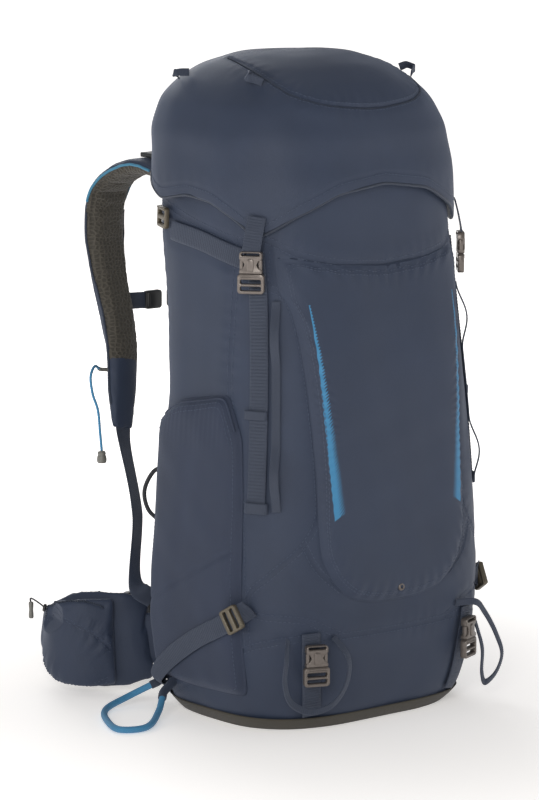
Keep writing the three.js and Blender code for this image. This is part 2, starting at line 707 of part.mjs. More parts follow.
const BUNGEE = [
  [-119.5, 232, 338], [-131, 226, 343], [-141, 220, 334], [-141, 217, 316],
  [-135, 216, 298], [-133, 215, 274], [-131, 215, 254.5],
];

function bungee() {
  const points = BUNGEE.map(([x, y, z]) => V(x * kx, y * kx, z * kz));
  add("bungee_cord", tube(points, BUNGEE_DIAMETER, 20), "blue");
  const end = points[points.length - 1];
  const profile = [[0.01, -14], [4.6, -13.4], [5.4, -10], [4.4, -3], [2.6, -0.3], [0.01, -0.3]];
  const bead = new THREE.LatheGeometry(profile.map(([r, y]) => new THREE.Vector2(r < 0.1 ? 0 : r, y)), 10);
  bead.rotateX(Math.PI / 2).translate(end.x, end.y, end.z);
  add("bungee_toggle", solidOf(bead), "grey");
}

// ---------------------------------------------------------------- hip belt
const WING = [
  [106, 163, 60, 92], [132, 176, 58, 108], [152, 200, 57, 112],
  [163, 228, 56, 106], [165, 254, 57, 78], [158, 278, 60, 42],
];

function hipBelt() {
  bothSides((side, ending) => {
    const stations = WING.map(([x, y, z, height]) => ({
      at: V(side * x * kx, y * kx, z),
      width: height,
      thick: WING_THICK,
    }));
    stations[0].thick = WING_THICK * 0.7;
    stations[5].thick = WING_THICK * 0.5;
    add("belt_wing" + ending, padding(stations, V(side, -0.3, 0), 10), "mesh");

    const bulge = WING.slice(1, 5).map(([x, y, z, height], i) => {
      const depth = [0.45, 1, 1, 0.4][i] * BELT_POCKET_THICK;
      const shift = WING_THICK / 2 + depth / 2 + POCKET_STANDOFF;
      return {
        at: V(side * (x * kx + shift * 0.93), y * kx - shift * 0.3, z),
        width: height - 12,
        thick: depth,
      };
    });
    add("belt_pocket" + ending, padding(bulge, V(side, -0.3, 0), 9), "navy");

    const tip = V(side * 150 * kx, 287 * kx, 60);
    const turn = V(side * 128 * kx, 292 * kx, 59);
    const end = V(side * 42 * kx, 292 * kx, 58);
    const clip = placed(block(36, 38, 9, 5), V(side * 25 * kx, 292 * kx, 58), V(0, 0, 1), V(0, 1, 0));
    const strap = freeBand([tip, turn, end], 30, 1.8, 12, V(0, 1, 0));
    add("belt_webbing" + ending, strap.add(clip), "webbing");

    const pullAt = V(side * 188 * kx, 264 * kx, 84);
    const pull = placed(block(5, 20, 3.4, 1.6), pullAt, V(0, 0, 1), V(side, 0.6, 0));
    add("belt_zip_pull" + ending, pull, "grey");
  });
}

mainBag();
basePanel();
collar();
frontPocket();
sidePockets();
backPanel();
frontStraps();
sideStraps();
baseStraps();
toolLoops();
smallLoops();
lid();
lidTabs();
lidLoops();
lidZip();
haulLoop();
shoulderStraps();
bungee();
hipBelt();

export default group;
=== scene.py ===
# %% [markdown]
# # A travel backpack
# A tall top-loading pack is sewn from flat panels of nylon, stiffened by foam and drawn in by webbing.
# The CAD frame already says where everything is and what moves. This lesson makes the surfaces:
# panels that swell between their seams, stitches, webbing, moulded buckles, spacer mesh and cord.
# Everything is in metres, +Z up, the wearer's side is +Y and the wearer's left is -X.

import json
import math
import bmesh
import bpy
import numpy as np
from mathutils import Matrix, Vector, kdtree
from mathutils.bvhtree import BVHTree

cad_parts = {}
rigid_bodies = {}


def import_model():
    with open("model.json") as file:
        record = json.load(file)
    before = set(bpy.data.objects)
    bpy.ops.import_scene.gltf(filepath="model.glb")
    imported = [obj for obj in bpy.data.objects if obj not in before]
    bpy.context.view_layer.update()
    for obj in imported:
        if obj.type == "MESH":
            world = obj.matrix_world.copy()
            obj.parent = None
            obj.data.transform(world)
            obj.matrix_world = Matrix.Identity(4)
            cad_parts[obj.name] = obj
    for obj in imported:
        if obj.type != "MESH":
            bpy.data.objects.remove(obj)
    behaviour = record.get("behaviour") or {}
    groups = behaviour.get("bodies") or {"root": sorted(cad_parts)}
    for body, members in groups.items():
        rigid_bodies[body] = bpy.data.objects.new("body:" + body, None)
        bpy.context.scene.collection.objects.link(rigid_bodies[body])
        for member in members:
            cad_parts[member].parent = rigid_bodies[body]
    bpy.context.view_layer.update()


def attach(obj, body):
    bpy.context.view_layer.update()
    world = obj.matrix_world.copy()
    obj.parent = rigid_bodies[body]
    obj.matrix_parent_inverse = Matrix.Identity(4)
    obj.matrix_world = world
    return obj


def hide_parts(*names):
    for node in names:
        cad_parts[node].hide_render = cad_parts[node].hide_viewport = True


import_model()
MM = 0.001
SIDES = {"left": -1, "right": 1}

# %% [markdown]
# ## Camera, floor and light
# A catalogue picture of a pack is taken from far away with a long lens, so its sides stay parallel.
# The camera comes first, because the free cords are judged against what it sees. Five large soft
# lights give the cloth a slow gradient: the key from the front left, a weak fill from the front
# right, one behind, one low at the left and one above. The floor gives off some light of its own,
# less of it near the pack, so that the far floor is white and the pack's own shadow still shows.

# %% Camera
VIEW_AZIMUTH, VIEW_ELEVATION = math.radians(-40), math.radians(9)
CAMERA_DISTANCE = 3.85
LENS = 168.0
AIM_HEIGHT, AIM_RIGHT, AIM_UP = 0.345, -0.0613, -0.0237


def camera_axes():
    flat = math.cos(VIEW_ELEVATION)
    back = Vector((math.sin(VIEW_AZIMUTH) * flat, -math.cos(VIEW_AZIMUTH) * flat, math.sin(VIEW_ELEVATION)))
    right = (-back).cross(Vector((0, 0, 1))).normalized()
    return back, right, right.cross(-back)


def new_object(name, data):
    obj = bpy.data.objects.new(name, data)
    bpy.context.scene.collection.objects.link(obj)
    return obj


back, right, up = camera_axes()
aim = Vector((0, 0, AIM_HEIGHT)) + right * AIM_RIGHT + up * AIM_UP
camera = new_object("camera", bpy.data.cameras.new("camera"))
camera.location = aim + back * CAMERA_DISTANCE
camera.rotation_euler = (-back).to_track_quat("-Z", "Y").to_euler()
camera.data.lens = LENS
bpy.context.scene.camera = camera
bpy.context.scene.view_settings.view_transform = "Standard"
print("camera at", [round(v, 2) for v in camera.location])

# %% Node helper and colours
def linear(hex_colour):
    """An sRGB hex colour as linear RGBA."""
    parts = [int(hex_colour[i : i + 2], 16) / 255 for i in (1, 3, 5)]
    return [c / 12.92 if c <= 0.04045 else ((c + 0.055) / 1.055) ** 2.4 for c in parts] + [1.0]


def node(tree, kind, settings=None, **inputs):
    """Adds one node. A tuple input (node, socket) is a link, anything else is a value."""
    made = tree.nodes.new(kind)
    for key, value in (settings or {}).items():
        setattr(made, key, value)
    for key, value in inputs.items():
        socket = made.inputs[int(key[1:]) if key[1:].isdigit() else key.replace("_", " ")]
        if isinstance(value, tuple) and isinstance(value[0], bpy.types.Node):
            tree.links.new(value[0].outputs[value[1]], socket)
        else:
            socket.default_value = value
    return made


def blank_material(name):
    material = bpy.data.materials.new(name)
    material.use_nodes = True
    tree = material.node_tree
    shader = tree.nodes["Principled BSDF"]
    return material, tree, shader


def connect(tree, source, socket, target, name):
    tree.links.new(source.outputs[socket], target.inputs[name])


def set_shader(shader, **values):
    """A value that is the same all over is set on the shader's own socket."""
    for key, value in values.items():
        shader.inputs[key.replace("_", " ")].default_value = value


print("mid grey is", round(linear("#808080")[0], 3), "in linear light")

# %% Floor
FLOOR_GLOW_NEAR, FLOOR_GLOW_FAR = 0.36, 0.95
GLOW_STARTS, GLOW_ENDS = 0.15, 1.1


def make_floor():
    mesh = bpy.data.meshes.new("floor")
    maker = bmesh.new()
    bmesh.ops.create_grid(maker, x_segments=2, y_segments=2, size=60)
    maker.to_mesh(mesh)
    maker.free()
    floor = new_object("floor", mesh)
    material, tree, shader = blank_material("painted_studio_floor")
    place = node(tree, "ShaderNodeTexCoord")
    grain = node(tree, "ShaderNodeTexNoise", Vector=(place, "Object"), Scale=3.0)
    tone = node(
        tree, "ShaderNodeMix", {"data_type": "RGBA"}, Factor=(grain, "Fac"), _6=linear("#f4f1ef"),
        _7=linear("#f8f6f5")
    )
    connect(tree, tone, 2, shader, "Base Color")
    set_shader(shader, Roughness=0.9, Emission_Color=linear("#fffdfb"))
    distance = node(tree, "ShaderNodeVectorMath", {"operation": "LENGTH"}, _0=(place, "Object"))
    glow = node(
        tree, "ShaderNodeMapRange", {"interpolation_type": "SMOOTHSTEP"}, Value=(distance, "Value"),
        From_Min=GLOW_STARTS, From_Max=GLOW_ENDS, To_Min=FLOOR_GLOW_NEAR, To_Max=FLOOR_GLOW_FAR
    )
    connect(tree, glow, 0, shader, "Emission Strength")
    mesh.materials.append(material)
    return floor


print("floor:", make_floor().name)

# %% Lights
LIGHT_TARGET = Vector((0, 0, 0.35))
AIR_STRENGTH = 0.28


def area_light(name, place, energy, size, colour):
    data = bpy.data.lights.new(name, "AREA")
    data.energy, data.size, data.color = energy, size, colour
    lamp = new_object(name, data)
    lamp.location = place
    lamp.rotation_euler = (Vector(place) - LIGHT_TARGET).to_track_quat("Z", "Y").to_euler()


area_light("key_softbox", (-2.7, -2.3, 1.5), 58, 1.5, (1.0, 0.99, 0.97))
area_light("fill_softbox", (2.2, -2.6, 1.2), 13, 1.6, (0.97, 0.98, 1.0))
area_light("rear_softbox", (1.2, 3.0, 1.7), 34, 1.6, (0.98, 0.99, 1.0))
area_light("side_softbox", (-2.4, 0.3, 0.45), 9, 1.2, (1.0, 0.99, 0.98))
area_light("top_softbox", (0.4, 0.9, 3.0), 8, 1.8, (1.0, 1.0, 1.0))
world = bpy.data.worlds.new("studio_air")
bpy.context.scene.world = world
world.use_nodes = True
world.node_tree.nodes["Background"].inputs["Color"].default_value = (1.0, 0.995, 0.99, 1)
world.node_tree.nodes["Background"].inputs["Strength"].default_value = AIR_STRENGTH
print("soft lights:", len(bpy.data.lights))

# %% [markdown]
# ## Finishes
# Each finish starts from the real stuff. The pack cloth is a matt 420-denier nylon, woven from
# threads about 0.4 mm apart and dyed navy; its filaments catch light at a glancing angle, which is
# sheen. A weave that fine can't show at this distance, so it is drawn 1.6 mm wide and very shallow,
# and slow mottling stands for the way coated cloth takes dye and light unevenly.

# %% Woven cloth
def weave_height(tree, coordinate, across_mm, along_mm):
    """Two crossed sets of threads: returns a node whose output 0 is the height."""
    split = node(tree, "ShaderNodeSeparateXYZ", Vector=coordinate)
    waves = []
    for axis, period in ((0, across_mm), (1, along_mm)):
        turns = node(
            tree, "ShaderNodeMath", {"operation": "MULTIPLY"}, _0=(split, axis),
            _1=2 * math.pi / (period * MM)
        )
        waves.append(node(tree, "ShaderNodeMath", {"operation": "SINE"}, _0=(turns, 0)))
    return node(tree, "ShaderNodeMath", {"operation": "MULTIPLY"}, _0=(waves[0], 0), _1=(waves[1], 0))


def woven_cloth(name, dark, light, thread_mm=1.6, roughness=0.62, sheen=0.22, bump=0.25):
    material, tree, shader = blank_material(name)
    place = node(tree, "ShaderNodeTexCoord")
    threads = weave_height(tree, (place, "UV"), thread_mm, thread_mm)
    slow = node(tree, "ShaderNodeTexNoise", Vector=(place, "Object"), Scale=9.0, Detail=4.0, Roughness=0.6)
    fine = node(tree, "ShaderNodeTexNoise", Vector=(place, "Object"), Scale=900.0, Detail=2.0)
    fleck = node(
        tree, "ShaderNodeMath", {"operation": "MULTIPLY_ADD"}, _0=(fine, "Fac"), _1=0.5, _2=(slow, "Fac")
    )
    ramp = node(tree, "ShaderNodeMapRange", Value=(fleck, 0), From_Min=0.45, From_Max=1.05)
    colour = node(
        tree, "ShaderNodeMix", {"data_type": "RGBA"}, Factor=(ramp, 0), _6=linear(dark), _7=linear(light)
    )
    connect(tree, colour, 2, shader, "Base Color")
    rough = node(
        tree, "ShaderNodeMapRange", Value=(slow, "Fac"), To_Min=roughness - 0.05, To_Max=roughness + 0.07
    )
    connect(tree, rough, 0, shader, "Roughness")
    height = node(
        tree, "ShaderNodeMath", {"operation": "MULTIPLY_ADD"}, _0=(fine, "Fac"), _1=0.8, _2=(threads, 0)
    )
    relief = node(tree, "ShaderNodeBump", Strength=bump, Distance=0.0003, Height=(height, 0))
    connect(tree, relief, 0, shader, "Normal")
    set_shader(
        shader, Sheen_Weight=sheen, Sheen_Roughness=0.45, Sheen_Tint=linear("#a9b4cc"), IOR=1.53,
        Specular_IOR_Level=0.35
    )
    return material


NAVY = woven_cloth("navy_nylon_420_denier", "#232c3e", "#2b3549")
# The lining cloth also makes the lid's edge binding, where its dark colour is painted shadow under the lid's
# edge.
NAVY_DARK = woven_cloth("navy_lining_taffeta", "#1d2431", "#242c3b", 1.2, 0.5)
STRETCH = woven_cloth("navy_stretch_knit", "#222a3b", "#293247", 1.2, 0.7)
SOLE = woven_cloth("olive_ballistic_nylon", "#37332a", "#443f35", 2.2, 0.7, 0.12, 0.5)
print("cloths:", NAVY.name, NAVY_DARK.name, STRETCH.name, SOLE.name)

# %% [markdown]
# Webbing is woven thicker than cloth, with ribs that run across it every 1.5 mm or so and a firm
# selvedge. Its pattern has to follow the strap, so it reads the strap's own UV map, which holds the
# distance across and along it in metres. Cord, piping and thread are woven too and share it.

# %% Webbing, cord and thread
def webbing(name, dark, light, rib_mm=1.7):
    material, tree, shader = blank_material(name)
    place = node(tree, "ShaderNodeTexCoord")
    threads = weave_height(tree, (place, "UV"), 1.3, rib_mm)
    fine = node(tree, "ShaderNodeTexNoise", Vector=(place, "Object"), Scale=500.0)
    blend = node(tree, "ShaderNodeMapRange", Value=(threads, 0), From_Min=-1.0, From_Max=1.0)
    colour = node(
        tree, "ShaderNodeMix", {"data_type": "RGBA"}, Factor=(blend, 0), _6=linear(dark), _7=linear(light)
    )
    connect(tree, colour, 2, shader, "Base Color")
    height = node(tree, "ShaderNodeMath", {"operation": "ADD"}, _0=(threads, 0), _1=(fine, "Fac"))
    relief = node(tree, "ShaderNodeBump", Strength=0.5, Distance=0.0004, Height=(height, 0))
    connect(tree, relief, 0, shader, "Normal")
    set_shader(shader, Roughness=0.6, Sheen_Weight=0.25, Sheen_Tint=linear("#a9b4cc"))
    return material


NAVY_WEBBING = webbing("navy_polyester_webbing", "#1f2635", "#2c3649")
BLACK_WEBBING = webbing("black_polyester_webbing", "#17181b", "#24262a")
BLUE_CORD = webbing("blue_braided_cord", "#286f98", "#478cb5", 2.4)
BLUE_PIPING = webbing("blue_piping_tape", "#2c6d8c", "#3f819f", 1.6)
THREAD = webbing("navy_bonded_thread", "#2b3446", "#3a455a", 1.0)
print("woven straps and cords:", NAVY_WEBBING.name, BLACK_WEBBING.name, BLUE_CORD.name)

# %% [markdown]
# Buckles are moulded acetal with a metallic pigment, so they look like pewter without being metal:
# low metallic, a satin skin and a fine orange peel from the mould.

# %% Moulded plastics
def moulded(name, dark, light, roughness, metallic=0.0, peel=0.12):
    material, tree, shader = blank_material(name)
    place = node(tree, "ShaderNodeTexCoord")
    speck = node(tree, "ShaderNodeTexNoise", Vector=(place, "Object"), Scale=420.0, Detail=3.0)
    colour = node(
        tree, "ShaderNodeMix", {"data_type": "RGBA"}, Factor=(speck, "Fac"), _6=linear(dark), _7=linear(light)
    )
    connect(tree, colour, 2, shader, "Base Color")
    relief = node(tree, "ShaderNodeBump", Strength=peel, Distance=0.0002, Height=(speck, "Fac"))
    connect(tree, relief, 0, shader, "Normal")
    set_shader(shader, Roughness=roughness, Metallic=metallic, IOR=1.48)
    return material


PEWTER = moulded("pewter_moulded_acetal", "#5a5450", "#736b66", 0.3, 0.5)
BRONZE = moulded("bronze_moulded_acetal", "#4d473c", "#655d4f", 0.36, 0.4)
BLACK_PLASTIC = moulded("black_moulded_nylon", "#17181a", "#222427", 0.42)
GREY_PLASTIC = moulded("grey_moulded_nylon", "#5f5e5a", "#75746f", 0.45)
SHEET_PLASTIC = moulded("extruded_polyethylene_sheet", "#7e8183", "#8f9294", 0.5)
print("mouldings:", PEWTER.name, BRONZE.name, BLACK_PLASTIC.name, GREY_PLASTIC.name)

# %% [markdown]
# Spacer mesh is the soft honeycomb that touches the wearer. Its cells are about 5 mm across, with
# dark open middles and paler knitted walls; the dark middles are painted shade inside each sunken
# cell, so one Voronoi pattern drives both colour and height.

# %% Spacer mesh
def spacer_mesh(name, wall, hole, cell_mm=4.6):
    material, tree, shader = blank_material(name)
    place = node(tree, "ShaderNodeUVMap", {"uv_map": "UVMap"})
    cells = node(
        tree, "ShaderNodeTexVoronoi", {"feature": "DISTANCE_TO_EDGE", "voronoi_dimensions": "2D"},
        Vector=(place, "UV"), Scale=1000.0 / cell_mm, Randomness=0.7,
    )
    soft = node(tree, "ShaderNodeMapRange", Value=(cells, "Distance"), From_Min=0.05, From_Max=0.3)
    # Painted shade: the second colour darkens the middle of each cell, where the bump sinks it.
    colour = node(
        tree, "ShaderNodeMix", {"data_type": "RGBA"}, Factor=(soft, 0), _6=linear(wall), _7=linear(hole)
    )
    connect(tree, colour, 2, shader, "Base Color")
    flip = node(tree, "ShaderNodeMath", {"operation": "SUBTRACT"}, _0=1.0, _1=(soft, 0))
    relief = node(tree, "ShaderNodeBump", Strength=0.7, Distance=0.0009, Height=(flip, 0))
    connect(tree, relief, 0, shader, "Normal")
    set_shader(shader, Roughness=0.9, Sheen_Weight=0.15)
    return material


# The second colour is the painted shade in the open cells' middles.
MESH_BROWN = spacer_mesh("warm_grey_spacer_mesh", "#433f38", "#34312b")
print("finishes:", len(bpy.data.materials))

# %% [markdown]
# ## The shape everything is sewn to
# A pack's body is a soft column, so its sections are superellipses: nearly boxes with round corners.
# Each row gives height, half-width, front and back in millimetres, and the corner exponent. The rows
# are joined by straight lines and then smoothed, as foam and cloth round off every change of slope.

# %% Sections
BODY_ROWS = [
    (0, 132, -76, 122, 3.2), (10, 144, -88, 132, 3.3), (40, 150, -96, 140, 3.5), (100, 158, -104, 145, 3.5),
    (160, 157, -106, 145, 3.5), (250, 152, -103, 138, 3.4), (330, 147, -99, 133, 3.2),
    (
        420, 141, -90, 142, 3.2
    ), (500, 137, -80, 155, 3.3), (560, 134, -74, 158, 3.3), (625, 118, -58, 148, 2.9),
]
LID_ROWS = [
    (
        480, 145, -87, 167, 3.1
    ), (500, 145, -87, 168, 3.1), (551, 146, -86, 172, 3.1), (603, 141, -78, 177, 3.0),
    (632, 129, -67, 173, 2.9), (650, 113, -52, 162, 2.7), (666, 91, -30, 142, 2.5), (677, 62, 0, 116, 2.2),
    (680, 34, 26, 90, 2.0), (680.6, 3, 55, 61, 2.0),
]


def distances(path):
    """Distance from the first point of a path to each of its points, along it."""
    return np.concatenate([[0], np.cumsum(np.linalg.norm(np.diff(path, axis=0), axis=1))])


def unit(vectors):
    return vectors / np.linalg.norm(vectors, axis=1, keepdims=True)


def smoothed_rows(rows, spread, key=None):
    """Rows every millimetre of the key (height by default), blurred over the given spread."""
    rows = np.array(rows, float)
    key = rows[:, 0] if key is None else key
    steps = np.arange(key[0], key[-1] + 1)
    table = np.stack([np.interp(steps, key, rows[:, k]) for k in range(5)], 1)
    reach = int(spread * 3)
    weights = np.exp(-0.5 * (np.arange(-reach, reach + 1) / spread) ** 2)
    weights /= weights.sum()
    padded = np.concatenate([
        2 * table[:1] - table[reach:0:-1], table, 2 * table[-1:] - table[-2 : -reach - 2 : -1]
    ])
    blurred = np.stack([np.convolve(padded[:, k], weights, "valid") for k in range(5)], 1)
    return steps, blurred


def section(table, height):
    """Half-width, middle, depth and exponent at each height."""
    keys, values = table
    half, front, rear, power = [np.interp(height, keys, values[:, k]) for k in (1, 2, 3, 4)]
    return half, (front + rear) / 2, (rear - front) / 2, power


BODY = smoothed_rows(BODY_ROWS, 9)
LID_ARC = distances(np.array(LID_ROWS, float)[:, :2])
LID = smoothed_rows(LID_ROWS, 7, LID_ARC)
LID_BY_HEIGHT = smoothed_rows(LID_ROWS[:-1], 5)
print("lid profile is", round(LID_ARC[-1]), "mm long, from its lower edge to the crown")

# %% Points on a section
def ring_point(section_values, angle, off):
    half, middle, depth, power = section_values
    cosine, sine = np.cos(angle), np.sin(angle)
    x = (half + off) * np.sign(cosine) * np.abs(cosine) ** (2 / power)
    y = middle + (depth + off) * np.sign(sine) * np.abs(sine) ** (2 / power)
    return x, y


def even_angles(count):
    """Angles that divide a section into equal lengths, starting at the middle of the back."""
    fine = np.linspace(np.pi / 2, np.pi * 2.5, 20001)
    x, y = ring_point(section(BODY, 300.0), fine, 0)
    run = np.concatenate([[0], np.cumsum(np.hypot(np.diff(x), np.diff(y)))])
    return np.interp(np.linspace(0, run[-1], count, endpoint=False), run, fine), run[-1]


print("a section is", round(even_angles(8)[1]), "mm round at mid height")

# %% Points on the surface
def onto(table, points, off):
    """Moves points along the line from the section's middle to the surface, raised by off."""
    points = np.atleast_2d(np.asarray(points, float))
    half, middle, depth, power = section(table, points[:, 2])
    u = np.abs(points[:, 0]) / (half + off)
    v = np.abs(points[:, 1] - middle) / (depth + off)
    scale = 1 / (u**power + v**power) ** (1 / power)
    return np.stack([points[:, 0] * scale, middle + (points[:, 1] - middle) * scale, points[:, 2]], 1)


def outward(table, points):
    half, middle, depth, power = section(table, points[:, 2])
    u, v = points[:, 0] / half, (points[:, 1] - middle) / depth
    out = np.stack([
        np.sign(u) * np.abs(u) ** (power - 1) / half, np.sign(v) * np.abs(v) ** (power - 1) / depth,
        np.zeros(len(points)),
    ], 1)
    return unit(out)


def face_point(side, across, height, off):
    """A point of one face: side is front, back, left or right, across is x or y."""
    half, middle, depth, power = section(BODY, height)
    if side in SIDES:
        v = np.clip(np.abs(across - middle) / (depth + off), 0, 0.999)
        return np.stack([SIDES[side] * (half + off) * (1 - v**power) ** (1 / power), across, height], -1)
    u = np.clip(np.abs(across) / (half + off), 0, 0.999)
    sign = -1 if side == "front" else 1
    return np.stack([across, middle + sign * (depth + off) * (1 - u**power) ** (1 / power), height], -1)


print("the middle of the front is at y", round(face_point("front", 0.0, 300.0, 0.0)[1]), "mm")

# %% Smooth lines
def smooth_path(guides, step):
    """A centripetal Catmull-Rom curve through the guides, with points every step millimetres."""
    guides = np.asarray(guides, float)
    ends = np.concatenate([[2 * guides[0] - guides[1]], guides, [2 * guides[-1] - guides[-2]]])
    t = np.linspace(0, 1, 40, endpoint=False)[:, None]
    spans = []
    for i in range(1, len(ends) - 2):
        p0, p1, p2, p3 = ends[i - 1 : i + 3]
        d0, d1, d2 = [max(np.linalg.norm(b - a) ** 0.5, 1e-6) for a, b in ((p0, p1), (p1, p2), (p2, p3))]
        start = ((p1 - p0) / d0 - (p2 - p0) / (d0 + d1) + (p2 - p1) / d1) * d1
        end = ((p2 - p1) / d1 - (p3 - p1) / (d1 + d2) + (p3 - p2) / d2) * d1
        spans.append(
            p1 + start * t + (3 * (p2 - p1) - 2 * start - end) * t**2 + (2 * (p1 - p2) + start + end) * t**3
        )
    fine = np.concatenate(spans + [guides[-1:]])
    run = distances(fine)
    count = max(2, int(round(run[-1] / step)) + 1)
    return np.stack([np.interp(np.linspace(0, run[-1], count), run, fine[:, k]) for k in range(3)], 1)


def mirrored(points, side=1):
    return [(x * side, y, z) for x, y, z in points]


print("a bent guide of 20 mm becomes", len(smooth_path([(0, 0, 0), (10, 0, 0), (10, 10, 0)], 1)), "points")

# %% Finished pieces
def finish_piece(obj, body, slot, *nodes):
    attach(obj, body)
    if nodes:
        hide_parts(*nodes)
    return obj


def mesh_object(name, points, faces, materials, uv=None, face_material=None):
    """points in millimetres; uv per point in metres."""
    mesh = bpy.data.meshes.new(name)
    mesh.from_pydata((np.asarray(points, float) * MM).tolist(), [], [list(map(int, f)) for f in faces])
    for material in materials:
        mesh.materials.append(material)
    if face_material is not None:
        mesh.polygons.foreach_set("material_index", np.asarray(face_material, np.int32))
    if uv is not None:
        layer = mesh.uv_layers.new(name="UVMap")
        corner = np.empty(len(mesh.loops), np.int32)
        mesh.loops.foreach_get("vertex_index", corner)
        layer.data.foreach_set("uv", np.asarray(uv, float)[corner].ravel())
    mesh.polygons.foreach_set("use_smooth", np.full(len(mesh.polygons), True))
    mesh.update()
    return new_object(name, mesh)


# %% Closed skins from rings
def ring_faces(rings, columns):
    """Quads between neighbouring rings of points."""
    row, col = np.meshgrid(np.arange(rings - 1), np.arange(columns), indexing="ij")
    ahead = (col + 1) % columns
    low, high = row * columns, (row + 1) * columns
    return np.stack([low + col, low + ahead, high + ahead, high + col], -1).reshape(-1, 4)


def closed_rings(name, rings, uv, materials, row_material=None):
    """A closed skin from rings (rows, columns, 3), counter-clockwise from outside, with two fans."""
    rows, columns = rings.shape[:2]
    points = np.concatenate([rings.reshape(-1, 3), rings[:1].mean(1), rings[-1:].mean(1)])
    flat = np.concatenate([uv.reshape(-1, 2), uv[:1].mean(1), uv[-1:].mean(1)])
    quads = ring_faces(rows, columns)
    first, last = rows * columns, rows * columns + 1
    col = np.arange(columns)
    ahead = (col + 1) % columns
    end = (rows - 1) * columns
    fans = [(first, b, a) for a, b in zip(col, ahead)] + [
        (last, end + a, end + b) for a, b in zip(col, ahead)
    ]
    material = None
    if row_material is not None:
        first_fan, last_fan = np.full(columns, row_material[0]), np.full(columns, row_material[-1])
        material = np.concatenate([np.repeat(row_material, columns), first_fan, last_fan])
    return mesh_object(name, points, list(quads) + fans, materials, flat, material)


print("two rings of four points give", len(ring_faces(2, 4)), "quads")

# %% [markdown]
# ## How sewn cloth moves
# Cloth is pulled in at a seam and swells beside it. The thread gathers it a little, which leaves
# short puckers square to the seam, and broad soft folds run between the seams. A tight strap presses
# the cloth flat. All of this is a small outward distance added to each point, worked out from the
# nearest point of a seam or strap, which a KD-tree finds quickly.

# %% Distance to a seam
SEAM_STEP = 3.0


class Lines:
    """Polylines on the surface, with the distance from any point and the place along the line."""

    def __init__(self, lines):
        self.paths = [smooth_path(line, SEAM_STEP) for line in lines]
        self.points = np.concatenate(self.paths)
        runs = [np.arange(len(p)) * SEAM_STEP + 137.0 * i for i, p in enumerate(self.paths)]
        self.along = np.concatenate(runs)
        self.tree = kdtree.KDTree(len(self.points))
        for i, p in enumerate(self.points):
            self.tree.insert(p, i)
        self.tree.balance()

    def near(self, points):
        found = [self.tree.find(p) for p in points]
        index = np.array([f[1] for f in found])
        return np.array([f[2] for f in found]), self.along[index], self.points[index]


print("seams are measured from points", SEAM_STEP, "mm apart")

# %% Folds and puckers
PRESS_HALF = 12.0


def soft_waves(points, wavelength, seed, stretch=(1, 1, 1)):
    """A smooth random field between about -1 and 1."""
    random = np.random.default_rng(seed)
    total = np.zeros(len(points))
    for _ in range(9):
        direction = random.normal(size=3) * np.array(stretch)
        wave = direction / np.linalg.norm(direction) * 2 * np.pi / (wavelength * random.uniform(0.7, 1.5))
        total += np.sin(points @ wave + random.uniform(0, 2 * np.pi))
    return total / 4.0


def ease(value):
    value = np.clip(value, 0, 1)
    return value * value * (3 - 2 * value)


def sewn_relief(points, seams, pressed=None, seed=1, fold=1.3, pucker=0.4, swell=0.55):
    """Outward distance of each point: a groove at the seam, a swell beside it, puckers and folds."""
    distance, along, _ = seams.near(points)
    groove = -1.0 * np.exp(-((distance / 1.9) ** 2))
    shoulder = swell * np.exp(-(((distance - 10) / 9) ** 2))
    strength = 0.55 + 0.45 * np.sin(along / 41.0 + seed)
    ripple = np.sin(2 * np.pi * along / 15.0 + 1.7 * np.sin(along / 29.0)) * strength
    puckers = pucker * ripple * np.exp(-((distance / 15) ** 2)) * ease(distance / 4)
    folds = fold * soft_waves(points, 130, seed, (1, 1, 0.45)) * ease(distance / 30)
    folds += 0.35 * fold * soft_waves(points, 48, seed + 7, (1, 1, 0.6)) * ease(distance / 22)
    relief = groove + shoulder + puckers + folds
    if pressed is not None:
        gap, _, _ = pressed.near(points)
        free = ease((gap - PRESS_HALF + 2) / 12)
        relief = relief * free - 0.9 * (1 - free)
    return relief


print("a strap presses the cloth", PRESS_HALF, "mm to each side")

# %% Seams and straps of the body
YOKE = [
    (-131, 140, 530), (-131, 97, 524), (-136, 42, 509), (-133, -17, 498), (-122, -43, 500), (-97, -68, 485),
    (-50, -82, 475), (0, -83, 471)
]
BASE_SEAM = [
    (-140, 120, 12), (-140, 81, 21), (-151, 18, 50), (-152, -24, 73), (-149, -47, 88), (-127, -80, 99),
    (-71, -101, 99), (0, -104, 98)
]
FRONT_SEAM = [
    (-124, -47, 488), (-124, -49, 455), (-116, -60, 448), (-109, -68, 434), (-105, -75, 408),
    (-101, -83, 362), (-98, -89, 311), (-96, -93, 262), (-97, -94, 220), (-112, -89, 194), (-134, -73, 169),
    (-149, -49, 140), (-147, -48, 92)
]
PATCH_SEAM = [(-147, -48, 128), (-145, -59, 124), (-111, -90, 119), (-70, -101, 100)]
BRANCH_SEAM = [(-110, -89, 198), (-97, -96, 170), (-74, -102, 148)]
SIDE_SEAM = [
    (-135, -17, 498), (-141, -14, 400), (-145, -16, 345), (-148, -35, 260), (-149, -40, 210), (-151, -45, 138)
]
REAR_SEAM = [
    (-128, 140, 540), (-126, 128, 420), (-128, 120, 330), (-132, 124, 250), (-134, 128, 150), (-128, 124, 40)
]
HALF_SEAMS = [YOKE, BASE_SEAM, FRONT_SEAM, PATCH_SEAM, BRANCH_SEAM, SIDE_SEAM, REAR_SEAM]
BODY_SEAM_LINES = [onto(BODY, smooth_path(mirrored(line, s), 4), 0.0) for line in HALF_SEAMS for s in (1, -1)]
BODY_SEAMS = Lines(BODY_SEAM_LINES)
FRONT_STRAP = [(141, -44, 486), (142, -50, 440), (144, -56, 330), (147, -58, 228)]
UPPER_STRAP = [(143, 90, 500), (146, 40, 494), (146, 0, 486), (140, -28, 480)]
BASE_STRAP = [(101, -90, 106), (101, -90, 90), (100, -89, 60), (98, -87, 36), (96, -84, 18)]
PRESSING = [FRONT_STRAP, UPPER_STRAP, BASE_STRAP]
